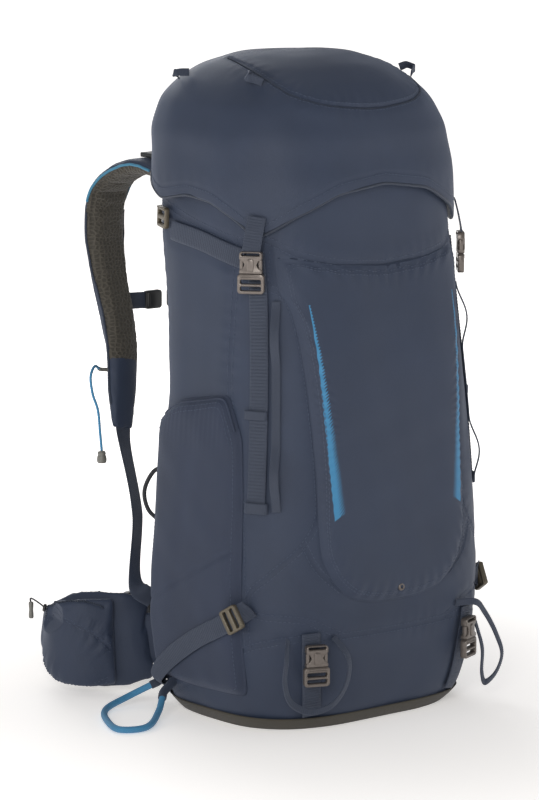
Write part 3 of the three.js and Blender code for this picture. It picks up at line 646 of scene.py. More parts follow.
PRESSED = Lines([onto(BODY, smooth_path(mirrored(line, s), 5), 0.0) for line in PRESSING for s in (1, -1)])
print("seams on the body:", round(len(BODY_SEAMS.points) * SEAM_STEP / 1000, 1), "m of stitching")

# %% [markdown]
# ## The body of the pack
# One closed skin: the outer cloth goes up to the mouth, turns over a bound edge, and goes down again
# as the lining. Rings of points make it, because a sewn tube is rings, and one skin keeps the mouth
# closed. The outer rings are 2.7 mm apart, so that the seams and puckers are real shape.

# %% Rings of the body
COLUMNS, OUTER_RINGS, LINING_RINGS = 400, 206, 22
SKIN_LOW, MOUTH, WALL = 4.0, 560.0, 4.0
angles, girth = even_angles(COLUMNS)


def body_rings(heights, off):
    heights = np.asarray(heights, float)[:, None] * np.ones((1, COLUMNS))
    x, y = ring_point(section(BODY, heights), angles[None, :] * np.ones_like(heights), off)
    return np.stack([x, y, heights], -1)


def flat_uv(rings):
    across = np.linspace(0, girth, rings.shape[1], endpoint=False)[None, :] * np.ones((rings.shape[0], 1))
    return np.stack([across, rings[..., 2]], -1) * MM


def raise_rings(rings, distance, table):
    flat = rings.reshape(-1, 3)
    return (flat + outward(table, flat) * distance[:, None]).reshape(rings.shape)


print("columns are", round(girth / COLUMNS, 2), "mm apart")

# %% Where a pocket covers the body
POCKET_HALF = [
    (0, 128), (30, 129), (61, 136), (83, 154), (96, 180), (98, 215), (98, 262), (100, 312), (103, 363),
    (107, 409), (112, 435), (119, 449), (119, 485), (97, 481), (60, 474), (0, 470)
]


def yoke_height(u):
    """The seam under the lid, where the pocket's cloth lies flat on the body."""
    return 470 + 14 * (np.abs(u) / 115) ** 2


def under_panels(points):
    """1 where a pocket lies on the body, which keeps the cloth flat there, fading to 0 at its edge."""
    x, y, z = points.T
    widths, heights = zip(*POCKET_HALF[:13])
    inside = ease((np.interp(z, heights, widths) - np.abs(x) - 1) / 4) * (y < 0)
    front = inside * ease((yoke_height(x) - z) / 4) * ease((z - 130) / 4)
    top = np.interp(y, (-44, -15, 60, 100), (300, 342, 328, 312))
    side = ease((y + 43) / 4) * ease((102 - y) / 4) * ease((top - z) / 4) * ease((z - 38) / 4)
    return np.maximum(front, side)


print("the pocket's cloth ends at", yoke_height(0.0), "mm in the middle")

# %% Bag body
outer = body_rings(np.linspace(SKIN_LOW, MOUTH - 1, OUTER_RINGS), 0)
flat = outer.reshape(-1, 3)
relief = sewn_relief(flat, BODY_SEAMS, PRESSED, seed=3)
relief *= ease((MOUTH - flat[:, 2]) / 30) * ease((flat[:, 2] - 2) / 14)
behind_pad = ease((np.abs(flat[:, 1]) - 100) / 20) * (flat[:, 1] > 0) * ease((118 - np.abs(flat[:, 0])) / 10)
relief = np.minimum(relief, 2.2) * (1 - behind_pad) - 0.3 * behind_pad
covered = under_panels(flat)
relief = relief * (1 - covered) - 0.5 * covered
outer = raise_rings(outer, relief, BODY)
lip = [body_rings([MOUTH], o) for o in (-0.8, -3.2)]
lining = body_rings(np.linspace(MOUTH - 1.5, SKIN_LOW + WALL, LINING_RINGS), -WALL)
skin = np.concatenate([outer, *lip, lining])
rows = [0] * (OUTER_RINGS + 1) + [1] * LINING_RINGS
bag_body = closed_rings("bag_body", skin, flat_uv(skin), [NAVY, NAVY_DARK], rows)
finish_piece(bag_body, "pack", "navy_fabric", "main_bag")
print(
    "bag body:", len(bag_body.data.polygons), "faces, relief", relief.min().round(2), "to",
    relief.max().round(2), "mm"
)

# %% [markdown]
# The sole is a tray of tough cloth that turns up round the bottom edge. The collar is a tube of thin
# cloth gathered by a cord at its top, so it gets upright gathers that fade downwards.

# %% Sole
SOLE_INSIDE_LOW, SOLE_RISE, SOLE_OUT, SOLE_IN = 3.7, 14.0, 2.4, 0.3
FLAT_RINGS = 10


def sole_tray():
    heights = np.concatenate([np.zeros(FLAT_RINGS), np.linspace(0, SOLE_RISE, 8)])
    outside = body_rings(heights, SOLE_OUT)
    middle = outside[:FLAT_RINGS].mean(1, keepdims=True)
    share = np.linspace(0.1, 0.985, FLAT_RINGS)[:, None, None]
    outside[:FLAT_RINGS] = middle + (outside[:FLAT_RINGS] - middle) * share
    wave = soft_waves(outside.reshape(-1, 3), 45, 21).reshape(outside.shape[:2])
    outside[..., 2] += np.where(outside[..., 2] < 1, 0.25 * (1 + wave), 0)
    inside = body_rings(np.linspace(SOLE_RISE, SOLE_INSIDE_LOW, 5), SOLE_IN)
    rings = np.concatenate([outside, inside])
    return closed_rings(
        "sole_panel", rings, flat_uv(rings) + rings[..., :2] * MM * (rings[..., 2:] < 1), [SOLE]
    )


sole = finish_piece(sole_tray(), "pack", "sole_fabric", "base_panel")
print("sole:", len(sole.data.polygons), "faces")

# %% Collar
COLLAR_LOW, COLLAR_HIGH, COLLAR_RINGS, GATHERS = 561, 620, 34, 46


def gathered_collar():
    heights = np.linspace(COLLAR_LOW, COLLAR_HIGH, COLLAR_RINGS)
    outside = body_rings(heights, -1.9)
    rise = ((heights - COLLAR_LOW) / (COLLAR_HIGH - COLLAR_LOW))[:, None]
    run = np.arange(COLUMNS)[None, :] * 2 * np.pi / COLUMNS
    folds = np.sin(GATHERS * run + 2.0 * np.sin(5 * run)) * (0.15 + 0.85 * rise) * 1.2
    channel = 0.9 * np.exp(-(((heights - COLLAR_HIGH + 7) / 3.2) ** 2))[:, None]
    outside = raise_rings(outside, (np.minimum(folds, 0.9) * 0.7 + channel - 0.2).ravel(), BODY)
    inside = body_rings(heights[::-1], -4.6)
    inside = raise_rings(inside, (0.5 * folds[::-1]).ravel(), BODY)
    rings = np.concatenate([outside, inside, outside[:1]])
    points = rings[:-1].reshape(-1, 3)
    faces = ring_faces(len(rings), COLUMNS) % len(points)
    return mesh_object("drawcord_collar", points, faces, [NAVY_DARK], flat_uv(rings[:-1]).reshape(-1, 2))


collar = finish_piece(gathered_collar(), "pack", "navy_lining", "collar")
print("collar:", len(collar.data.polygons), "faces with", GATHERS, "gathers")

# %% [markdown]
# ## The lid
# The lid is a cap over the mouth with its own pocket on top. Its lower edge arches up at the front and
# at each side, so every column of points starts at its own height and climbs the profile to the crown.
# Below the crown a curved zip seam marks the top pocket, and the cloth above it stands a little proud.

# %% Lid profile
RIM_FRONT = [(0, 553), (60, 545), (106, 523), (135, 500), (150, 500)]
RIM_SIDE = [
    (-60, 500), (-42, 500), (-22, 518), (12, 535), (53, 540), (99, 532), (136, 548), (156, 572), (220, 572)
]
LID_COLUMNS, LID_RINGS, INNER_RINGS, LID_WALL, LID_CEILING = 440, 146, 12, 3.0, 626.0
LID_ZIP = [
    (-73, 74, 673), (-89, 21, 666), (-92, -17, 655), (-86, -42, 644), (-62, -60, 634), (-23, -68, 629),
    (0, -69, 628)
]


def lid_points(run, angle, off):
    height = np.interp(run, LID[0], LID[1][:, 0])
    half, middle, depth, power = section(LID, run)
    x, y = ring_point((half, middle, depth, power), angle, np.minimum(off, half * 0.5))
    return np.stack([x, y, height], -1)


def lid_normals(rings):
    across = np.roll(rings, -1, 1) - np.roll(rings, 1, 1)
    upward = np.gradient(rings, axis=0)
    out = np.cross(across, upward)
    return out / np.maximum(np.linalg.norm(out, axis=2, keepdims=True), 1e-9)


def blurred_round(values, spread):
    reach = np.arange(-3 * spread, 3 * spread + 1)
    weights = np.exp(-0.5 * (reach / spread) ** 2)
    return sum(w * np.roll(values, r) for w, r in zip(weights, reach)) / weights.sum()


print("the lid has", LID_COLUMNS, "columns and", LID_RINGS, "rings")

# %% Lid cloth
lid_angles = np.interp(np.arange(LID_COLUMNS) * COLUMNS / LID_COLUMNS, np.arange(COLUMNS), angles)
base = lid_points(np.full(LID_COLUMNS, 45.0), lid_angles, 0)
front_rim = np.where(
    (base[:, 1] < 0) & (np.abs(base[:, 0]) < 136), np.interp(np.abs(base[:, 0]), *zip(*RIM_FRONT)), 500
)
side_rim = np.where(base[:, 1] > -42, np.interp(base[:, 1], *zip(*RIM_SIDE)), 500)
rim = blurred_round(np.maximum(front_rim, side_rim), 3)
rim_run = np.interp(rim, LID[1][:, 0], LID[0])
share = np.linspace(0, 1, LID_RINGS)[:, None]
runs = rim_run[None, :] + (LID[0][-1] - 1 - rim_run[None, :]) * share
shell = lid_points(runs, lid_angles[None, :] * np.ones_like(runs), 0.0)
LID_ZIP_LINE = smooth_path(LID_ZIP + mirrored(LID_ZIP[-2::-1], -1), 3)
LID_SEAM = Lines([LID_ZIP_LINE])
flat = shell.reshape(-1, 3)
relief = sewn_relief(flat, LID_SEAM, seed=11, pucker=0.45)
gap, _, nearest = LID_SEAM.near(flat)
relief += 1.1 * np.exp(-gap / 26) * ease(gap / 3) * (flat[:, 2] > nearest[:, 2] + 0.5) * (flat[:, 2] > 620)
rim_gap = (flat[:, 2].reshape(shell.shape[:2]) - rim[None, :]).ravel()
gathers = np.sin(np.tile(np.arange(LID_COLUMNS), LID_RINGS) * 0.72)
rim_groove = -0.35 * np.exp(-(((rim_gap - 11) / 2.0) ** 2))
relief += rim_groove + 0.12 * gathers * np.exp(-(((rim_gap - 17) / 8) ** 2))
relief = np.clip(relief, -2, 2.6)
shell = shell + lid_normals(shell) * relief.reshape(shell.shape[:2])[..., None]
print("lid cloth rises by", relief.min().round(2), "to", relief.max().round(2), "mm")

# %% Lid skin
CEILING_SHARES = (0.75, 0.5, 0.25, 0.06)
inner_share = np.linspace(0, 1, INNER_RINGS)[:, None]
inner_top = np.interp(LID_CEILING, LID[1][:, 0], LID[0])
inner_runs = rim_run[None, :] + 0.4 + (inner_top - rim_run[None, :]) * inner_share
inner = lid_points(inner_runs, lid_angles[None, :] * np.ones((INNER_RINGS, 1)), -LID_WALL)
centre = inner[-1:].mean(1, keepdims=True)
ceiling = np.concatenate([centre + (inner[-1:] - centre) * k for k in CEILING_SHARES])
turned = [lid_points(rim_run[None, :] - 0.6, lid_angles[None, :], -o) for o in (2.2, 0.8)]
cap = np.concatenate([ceiling[::-1], inner[::-1], *turned, shell])


def lid_uv(rings):
    across = np.linspace(0, girth, rings.shape[1], endpoint=False)[None, :] * np.ones((rings.shape[0], 1))
    steps = np.linalg.norm(np.diff(rings, axis=0), axis=2).mean(1)
    return np.stack(
        [across, np.concatenate([[0], np.cumsum(steps)])[:, None] * np.ones_like(across)], -1
    ) * MM


lining_rows = INNER_RINGS + len(CEILING_SHARES)
rows = [1] * lining_rows + [0] * (len(cap) - lining_rows - 1)
lid_shell = closed_rings("lid_shell", cap, lid_uv(cap), [NAVY, NAVY_DARK], rows)
finish_piece(lid_shell, "lid", "navy_fabric", "lid")
print(
    "lid:", len(lid_shell.data.polygons), "faces; its edge runs from", rim.min().round(), "to",
    rim.max().round(), "mm"
)

# %% [markdown]
# ## Panels that stand on the body
# The front pocket, the stretch side pockets and the back padding are panels with an outline. Each is
# made from rings that shrink from its outline to its middle, so the rings near the edge follow the
# seam, and the distance to the seam is known at every point: the panel rises steeply from it, then
# swells slowly. The under side is one coarse skin, so the panel is a closed pad.

# %% Panels from an outline
def closed_outline(points, step):
    """An outline sampled evenly, counter-clockwise, as (u, v) in millimetres."""
    loop = np.array(points + points[:1], float)
    run = distances(loop)
    at = np.linspace(0, run[-1], int(run[-1] / step), endpoint=False)
    flat = np.stack([np.interp(at, run, loop[:, k]) for k in (0, 1)], 1)
    area = np.sum(flat[:, 0] * np.roll(flat[:, 1], -1) - np.roll(flat[:, 0], -1) * flat[:, 1])
    flat = flat if area > 0 else flat[::-1]
    reach = np.arange(-9, 10)
    weights = np.exp(-0.5 * (reach / 3) ** 2)
    return sum(w * np.roll(flat, r, 0) for w, r in zip(weights, reach)) / weights.sum()


print("a 20 mm square has", len(closed_outline([(0, 0), (20, 0), (20, 20), (0, 20)], 2)), "points")

# %% Closed panels
PANEL_UNDER = 0.35


def panel_piece(name, face, points, rise, materials, step, rings):
    """rise(distance to the edge, u, v, space points) gives the height of the cloth above the body."""
    edge = closed_outline(points, step)
    middle = edge.mean(0)
    share = np.linspace(1, 0.006, rings)[:, None, None]
    flat = middle + (edge - middle)[None] * share
    distance = (1 - share[..., 0]) * np.linalg.norm(edge - middle, axis=1)[None]
    u, v = flat[..., 0], flat[..., 1]
    base = face_point(face, u, v, 0.0)
    off = rise(distance, u, v, base.reshape(-1, 3))
    top = face_point(face, u, v, off)
    hidden = np.linspace(0.02, 1, 9)[:, None, None]
    low = middle + (edge - middle)[None] * hidden
    bottom = face_point(face, low[..., 0], low[..., 1], PANEL_UNDER)
    stack = np.concatenate([bottom, top])
    uv = np.concatenate([low, flat]) * MM
    if face in ("back", "right"):
        stack, uv = stack[::-1], uv[::-1]
    return closed_rings(name, stack, uv, materials)


def fix_outward(obj):
    """Turns a closed piece's faces outward, by the sign of its volume."""
    mesh = bmesh.new()
    mesh.from_mesh(obj.data)
    if mesh.calc_volume(signed=True) < 0:
        bmesh.ops.reverse_faces(mesh, faces=mesh.faces)
    mesh.to_mesh(obj.data)
    mesh.free()
    return obj


print("panels start", PANEL_UNDER, "mm above the body")

# %% [markdown]
# The front pocket carries two blue bands printed along its sides. Each is solid at its outer edge and
# breaks up inwards into fine slanting lines, so its colour is worked out from the panel's own UV map,
# in metres: how far the point is into the band, against a slanted saw-tooth that gets thinner.

# %% Printed pocket cloth
HATCH_MM = 3.6
BAND_FOOT, BAND_HEIGHT = 223.0, 213.0


def printed_cloth(print_colour):
    material = woven_cloth("navy_nylon_with_blue_print", "#232c3e", "#2b3549")
    tree = material.node_tree
    shader = tree.nodes["Principled BSDF"]
    plain = shader.inputs["Base Color"].links[0].from_node
    place = node(tree, "ShaderNodeTexCoord")
    split = node(tree, "ShaderNodeSeparateXYZ", Vector=(place, "UV"))
    side = node(tree, "ShaderNodeMath", {"operation": "ABSOLUTE"}, _0=(split, 0))
    height = node(
        tree, "ShaderNodeMath", {"operation": "MULTIPLY_ADD"}, _0=(split, 1), _1=1000.0, _2=-BAND_FOOT
    )
    climb = node(tree, "ShaderNodeMath", {"operation": "DIVIDE"}, _0=(height, 0), _1=BAND_HEIGHT)
    outer = node(tree, "ShaderNodeMath", {"operation": "MULTIPLY_ADD"}, _0=(climb, 0), _1=11.0, _2=86.0)
    inner_line = node(tree, "ShaderNodeMath", {"operation": "MULTIPLY_ADD"}, _0=(climb, 0), _1=25.5, _2=69.5)
    across = node(tree, "ShaderNodeMath", {"operation": "MULTIPLY"}, _0=(side, 0), _1=1000.0)
    width = node(tree, "ShaderNodeMath", {"operation": "SUBTRACT"}, _0=(outer, 0), _1=(inner_line, 0))
    into = node(tree, "ShaderNodeMath", {"operation": "SUBTRACT"}, _0=(across, 0), _1=(inner_line, 0))
    depth = node(tree, "ShaderNodeMath", {"operation": "DIVIDE"}, _0=(into, 0), _1=(width, 0))
    slant = node(
        tree, "ShaderNodeMath", {"operation": "MULTIPLY_ADD"}, _0=(split, 1), _1=1000.0 / HATCH_MM, _2=0.0
    )
    lean = node(
        tree, "ShaderNodeMath", {"operation": "MULTIPLY_ADD"}, _0=(side, 0), _1=1400.0 / HATCH_MM,
        _2=(slant, 0)
    )
    saw = node(tree, "ShaderNodeMath", {"operation": "FRACT"}, _0=(lean, 0))
    full = node(tree, "ShaderNodeMath", {"operation": "MULTIPLY_ADD"}, _0=(depth, 0), _1=1.9, _2=-0.28)
    hatch = node(tree, "ShaderNodeMath", {"operation": "LESS_THAN"}, _0=(saw, 0), _1=(full, 0))
    left_edge = node(tree, "ShaderNodeMath", {"operation": "GREATER_THAN"}, _0=(depth, 0), _1=0.0)
    right_edge = node(tree, "ShaderNodeMath", {"operation": "LESS_THAN"}, _0=(depth, 0), _1=1.0)
    slanted = node(
        tree, "ShaderNodeMath", {"operation": "MULTIPLY_ADD"}, _0=(into, 0), _1=0.55, _2=(height, 0)
    )
    foot = node(tree, "ShaderNodeMath", {"operation": "GREATER_THAN"}, _0=(slanted, 0), _1=6.0)
    head = node(tree, "ShaderNodeMath", {"operation": "LESS_THAN"}, _0=(climb, 0), _1=1.0)
    mask = (hatch, 0)
    for test in (left_edge, right_edge, foot, head):
        mask = (node(tree, "ShaderNodeMath", {"operation": "MULTIPLY"}, _0=mask, _1=(test, 0)), 0)
    mix = node(tree, "ShaderNodeMix", {"data_type": "RGBA"}, Factor=mask)
    connect(tree, plain, 2, mix, 6)
    mix.inputs[7].default_value = linear(print_colour)
    connect(tree, mix, 2, shader, "Base Color")
    return material


PRINTED = printed_cloth("#37779f")
print("printed cloth:", len(PRINTED.node_tree.nodes), "nodes")

# %% Front pocket
def both_halves(half):
    """A half outline and its mirror, from the bottom middle round to it again."""
    return half + [(-x, z) for x, z in half[-2:0:-1]]


POCKET_OUTLINE = both_halves(POCKET_HALF)
POCKET_DEPTH, EYELET_HEIGHT = 8.6, 141


def pocket_rise(distance, u, v, space):
    settle = 0.3 + 0.7 * ease((yoke_height(u) - v) / 120)
    edge = POCKET_DEPTH * settle * (1 - np.exp(-((distance / 7.0) ** 1.25)))
    waves = soft_waves(
        space, 120, 31, (1, 1, 0.4)
    ).reshape(u.shape) + 0.4 * soft_waves(space, 42, 32).reshape(u.shape)
    along = np.arctan2(v - 300, u) * 140
    puckers = 0.55 * np.sin(
        2 * np.pi * along / 13 + 1.5 * np.sin(along / 31)
    ) * np.exp(-(((distance - 9) / 11) ** 2))
    groove = -0.9 * np.exp(-(((distance - 6.5) / 1.6) ** 2)) * settle
    hole = np.hypot(u, v - EYELET_HEIGHT)
    return edge + (0.75 * waves + puckers + groove) * ease(distance / 6) - 1.2 * np.exp(-((hole / 4.0) ** 2))


front_pocket = fix_outward(panel_piece(
    "front_pocket_panel", "front", POCKET_OUTLINE, pocket_rise, [PRINTED], 1.9, 92
))
finish_piece(front_pocket, "pack", "navy_fabric", "front_pocket")
print("front pocket:", len(front_pocket.data.polygons), "faces")

# %% [markdown]
# A stretch pocket is a knitted panel gathered by elastic in its top hem. It stands off the side, so
# the middle is drawn out and the hem pulls in. The seam edge runs down to the sole at the back.

# %% Side pockets
SIDE_OUTLINE = [
    (98, 36), (104, 90), (106, 150), (103, 230), (100, 312), (60, 330), (20, 337), (-15, 344), (-36, 300),
    (-41, 240), (-44, 134), (-44, 80), (-42, 36), (30, 34)
]


SIDE_POCKET_DEPTH = 10.2


def side_rise(distance, u, v, space):
    edge = SIDE_POCKET_DEPTH * (1 - np.exp(-((distance / 7.0) ** 1.4)))
    gather = 0.22 * np.sin(u * 0.82 + 1.2 * np.sin(u / 13)) * ease((v - 270) / 60)
    hem = 0.9 * np.exp(-(((distance - 8) / 2.2) ** 2)) * (v > 300)
    waves = 0.8 * soft_waves(
        space, 95, 41, (1, 1, 0.5)
    ).reshape(u.shape) + 0.35 * soft_waves(space, 36, 43).reshape(u.shape)
    fall = np.exp(-((np.abs((v - 159) - (18 - u) * 0.53) / 3.0) ** 2))
    lower = -1.3 * fall * ease((distance - 2) / 6)
    return edge + (gather + waves) * ease(distance / 12) + hem + lower


for side in SIDES:
    pocket = panel_piece("stretch_pocket_" + side, side, SIDE_OUTLINE, side_rise, [STRETCH], 2.2, 56)
    finish_piece(fix_outward(pocket), "pack", "navy_fabric", "side_pocket_" + side)
print("side pockets stand", SIDE_POCKET_DEPTH, "mm proud of the body")

# %% [markdown]
# The back panel is foam under spacer mesh, pressed into channels that let air rise. Its ribs and
# channels are long enough to be shape: the rise falls to about half along each channel.

# %% Back panel
BACK_HALF = [(0, 132), (104, 132), (108, 300), (92, 470), (70, 522), (0, 522)]


def back_rise(distance, u, v, space):
    edge = 9.6 * (1 - np.exp(-((distance / 6.0) ** 1.4)))
    channel = np.exp(-((np.abs(np.abs(u) - 30) / 5.0) ** 2)) + 0.8 * np.exp(-((np.abs(u) / 7.0) ** 2))
    rung = np.exp(-((((v + 20) % 56) - 28) / 3.4) ** 2) * (np.abs(u) > 30)
    return edge * (1 - 0.5 * np.clip(channel + 0.7 * rung, 0, 1) * ease(distance / 14))


def lumbar_rise(distance, u, v, space):
    edge = 16.4 * (1 - np.exp(-((distance / 9.0) ** 1.4)))
    return edge * (1 - 0.3 * np.exp(-((np.abs(np.abs(u) - 34) / 6.0) ** 2)))


back_pad = panel_piece("back_panel_pad", "back", both_halves(BACK_HALF), back_rise, [MESH_BROWN], 2.6, 50)
finish_piece(fix_outward(back_pad), "pack", "spacer_mesh", "back_pad")
LUMBAR_OUTLINE = [(-90, 34), (90, 34), (94, 122), (-94, 122)]
lumbar = panel_piece("lumbar_cushion", "back", LUMBAR_OUTLINE, lumbar_rise, [MESH_BROWN], 2.6, 30)
finish_piece(fix_outward(lumbar), "pack", "spacer_mesh", "lumbar_pad")
print("back panel:", len(back_pad.data.polygons), "faces; lumbar pad:", len(lumbar.data.polygons))

# %% [markdown]
# ## Webbing
# Every strap is flat woven tape. A tape is a ring of sixteen points across its section, carried along
# a path: thin at the selvedge, full in the middle, and lifted a little at each rib. On the body each
# point across is pressed onto the surface, so the tape bends with the corner instead of cutting it.

# %% Tape
TAPE_ACROSS = np.array([-0.5, -0.47, -0.34, -0.12, 0.12, 0.34, 0.47, 0.5])
TAPE_FULL = np.array([0.25, 0.8, 1, 1, 1, 1, 0.8, 0.25])
TAPE_THICK = 1.6


def directions(path):
    ahead = np.gradient(path, axis=0)
    return ahead / np.maximum(np.linalg.norm(ahead, axis=1, keepdims=True), 1e-9)


def raised(table, points, lift):
    """Presses points on the surface, raised by a number or by a rule that reads the points."""
    return onto(table, points, lift(points) if callable(lift) else lift)


def tape(name, path, normals, width, material, rib_mm=0.0, rib=0.22, table=None, lift=0.0, thick=TAPE_THICK):
    ahead = directions(path)
    across = np.cross(ahead, normals)
    across = unit(across)
    normals = np.cross(across, ahead)
    run = distances(path)
    spots = path[:, None] + across[:, None] * (TAPE_ACROSS[None, :, None] * width)
    if table is not None:
        spots = raised(table, spots.reshape(-1, 3), lift).reshape(spots.shape)
    ribs = rib * np.sin(2 * np.pi * run / rib_mm)[:, None] * TAPE_FULL if rib_mm else 0.0
    middle = spots + normals[:, None] * thick / 2
    top = middle + normals[:, None] * ((thick / 2) * TAPE_FULL + ribs)[..., None]
    low = middle - normals[:, None] * ((thick / 2) * np.broadcast_to(TAPE_FULL, top.shape[:2]))[..., None]
    rings = np.concatenate([top, low[:, ::-1]], 1)
    u = np.broadcast_to(np.concatenate([TAPE_ACROSS, TAPE_ACROSS[::-1]]) * width, rings.shape[:2])
    uv = np.stack([u, np.broadcast_to(run[:, None], u.shape)], -1) * MM
    return fix_outward(closed_rings(name, rings, uv, [material]))


print("a tape has", 2 * len(TAPE_ACROSS), "points round its section")

# %% Tape on the body and free tape
STRAP_LIFT, WEBBING_WIDTH, DAISY_WIDTH = 1.4, 20.0, 9.0


def body_tape(name, guides, lift, node_name, rib_mm, rib=0.22):
    path = raised(BODY, smooth_path(guides, rib_mm / 4), lift)
    made = tape(name, path, outward(BODY, path), WEBBING_WIDTH, NAVY_WEBBING, rib_mm, rib, BODY, lift)
    return finish_piece(made, "pack", "navy_webbing", node_name)


def free_tape(
    name, guides, width, face, body, node_name, thick, rib_mm=0.0, material=NAVY_WEBBING, slot="navy_webbing"
):
    path = smooth_path(guides, rib_mm / 4 if rib_mm else 2.0)
    across = np.cross(directions(path), np.array(face, float))
    normals = np.cross(across, directions(path))
    normals = unit(normals)
    made = tape(name, path - normals * thick / 2, normals, width, material, rib_mm, 0.16, thick=thick)
    return finish_piece(made, body, slot, *([node_name] if node_name else []))


print("webbing is", WEBBING_WIDTH, "mm wide and", TAPE_THICK, "mm thick")

# %% Straps on the body
LOWER_STRAP = [(139, 122, 14), (147, 104, 26), (158, 60, 60), (160, 10, 92), (158, -31, 114), (155, -58, 132)]


LADDER_RIB, STRAP_RIB = 3.4, 2.8


def over_pocket(points):
    """The lower strap lies on the body at both ends and over the side pocket between them."""
    low, front = ease((points[:, 2] - 20) / 14), ease((points[:, 1] + 60) / 12)
    return 1.6 + 10.8 * low * front


for side, sign in SIDES.items():
    body_tape(
        "ladder_strap_" + side, mirrored(FRONT_STRAP, sign), STRAP_LIFT, "front_strap_" + side, LADDER_RIB,
        0.32
    )
    body_tape(
        "upper_strap_" + side, mirrored(UPPER_STRAP, sign), STRAP_LIFT, "upper_side_strap_" + side, STRAP_RIB
    )
    body_tape(
        "lower_strap_" + side, mirrored(LOWER_STRAP, sign), over_pocket, "lower_side_strap_" + side, STRAP_RIB
    )
    body_tape("base_tape_" + side, mirrored(BASE_STRAP, sign), STRAP_LIFT, "base_strap_" + side, STRAP_RIB)
print("ladder straps are ribbed every", LADDER_RIB, "mm, the others every", STRAP_RIB, "mm")

# %% Keepers on the ladder straps
KEEPERS = [("keeper", 326, 9.0), ("fold", 233, 11.0)]
KEEPER_WRAP = [(-12.5, -2.2), (-11, 0.1), (11, 0.1), (12.5, -2.2)]


def ladder_place(sign, height):
    """The middle of a ladder strap at a height, near the surface."""
    t = (486 - height) / 258
    return np.stack([sign * (141 + 6 * t), -44 - 14 * t, height], -1)


for side, sign in SIDES.items():
    for label, height, tall in KEEPERS:
        spot = onto(BODY, ladder_place(sign, height), STRAP_LIFT + 1.9)[0]
        out = outward(BODY, spot[None])[0]
        along = np.cross(out, (0, 0, 1.0))
        wrap = [spot + along * aside + out * high for aside, high in KEEPER_WRAP]
        free_tape("strap_%s_%s" % (label, side), wrap, tall, out, "pack", None, 1.3)
print("each ladder strap has", len(KEEPERS), "keepers")

# %% Looped tape beside the strap
DAISY_TOP, DAISY_LOW, DAISY_LOOP = 440, 230, 70


def beside_strap(sign, height):
    p = onto(BODY, ladder_place(sign, height), 0)
    out = outward(BODY, p)
    step = sign * (WEBBING_WIDTH / 2 + 7 + DAISY_WIDTH / 2)
    p = p + np.stack([out[:, 1] * step, -out[:, 0] * step, np.zeros(len(p))], -1)
    bow = np.maximum(0, np.sin((DAISY_TOP - height) / DAISY_LOOP * np.pi)) ** 2 * 7
    return onto(BODY, p, STRAP_LIFT + bow)


for side, sign in SIDES.items():
    path = beside_strap(sign, np.linspace(DAISY_TOP, DAISY_LOW, 150))
    chain = tape("daisy_tape_" + side, path, outward(BODY, path), DAISY_WIDTH, NAVY_WEBBING, STRAP_RIB, 0.12)
    finish_piece(chain, "pack", "navy_webbing", "daisy_chain_" + side)
print("looped tape: a loop every", DAISY_LOOP, "mm")

# %% [markdown]
# The tool loops, the haul loop and the small lid loops are narrow tape that stands free in an arc.
# Their guides are the hanging shape of each loop, and the tape keeps its face turned outwards.

# %% Loops of tape
BUCKLE_WIDTH = 27.0
LOOP_LEFT = [
    (-1, -18, 102), (-1, -29, 84), (-1, -29, 60), (-1, -18, 38), (0, -8, 26), (1, 1, 31), (1, 15, 52),
    (1, 14, 80), (1, 5, 100)
]
LOOP_RIGHT = [
    (0, -14, 112), (0, 6, 112), (1, 12, 98), (1, 33, 70), (1, 44, 46), (1, 38, 26), (1, 26, 18), (1, 18, 30),
    (1, 14, 58), (1, 12, 86)
]


def hanging_loop(route, sign):
    points = []
    for i, (edge, far, z) in enumerate(route):
        x = sign * 100 + edge * BUCKLE_WIDTH / 2 + far
        seat = math.copysign(min(abs(x), 128), x)
        y = onto(BODY, [(seat, -92, z)], 0)[0][1]
        points.append((x, y - (3 if i in (0, len(route) - 1) else 16), z))
    return points


def crown_height(x, y):
    heights = LID[1][:, 0]
    half, middle, depth, power = section(LID, LID[0])
    inside = np.abs(x / half) ** power + np.abs((y - middle) / depth) ** power < 1
    return heights[inside].max() + 5.5


print("the lid's loops stand on it at z", round(crown_height(100, 0)), "mm")

# %% Tool, haul and lid loops
free_tape(
    "tool_loop_tape_left", hanging_loop(LOOP_LEFT, -1), 7, (0.3, -1, 0), "pack", "tool_loop_left", 1.8, 2.4
)
free_tape(
    "tool_loop_tape_right", hanging_loop(LOOP_RIGHT, 1), 7, (0.5, -1, 0), "pack", "tool_loop_right", 1.8, 2.4
)
HAUL = [(-26, 173, 548), (-25, 178, 528), (-14, 183, 511), (14, 183, 511), (25, 178, 528), (26, 173, 548)]
free_tape("haul_loop_tape", HAUL, 14, (0, 1, 0.25), "haul_loop", "haul_loop", 2.4, 2.6)
for side, sign in SIDES.items():
    for place, x, y in (("rear", 104, 108), ("front", 100, -4)):
        a, b = [np.array((sign * x, y + d, crown_height(x, y + d))) for d in (-9, 9)]
        top = np.array((sign * (x + 7), y, crown_height(x + 7, y)))
        lean = np.array((sign * 0.6, 0, 0.8))
        one = top + (a - top) * 0.4 + lean * 6
        two = top + lean * 9
        last = two + (b - two) * 0.6 + lean * 3
        free_tape(
            "lid_%s_loop_tape_%s" % (place, side), [a, one, two, last, b], 8, (sign, 0, 0.2), "lid",
            "lid_loop_%s_%s" % (place, side), 1.4, 2.4
        )

# %% [markdown]
# ## Buckles
# A side-release buckle is two acetal mouldings. The socket is pinched at its waist, where the arms of
# the other half show through two side windows. A flat outline with holes, filled and bevelled as a
# curve, gives the rounded edges that every moulding has, and a smaller raised plate lies on its face.

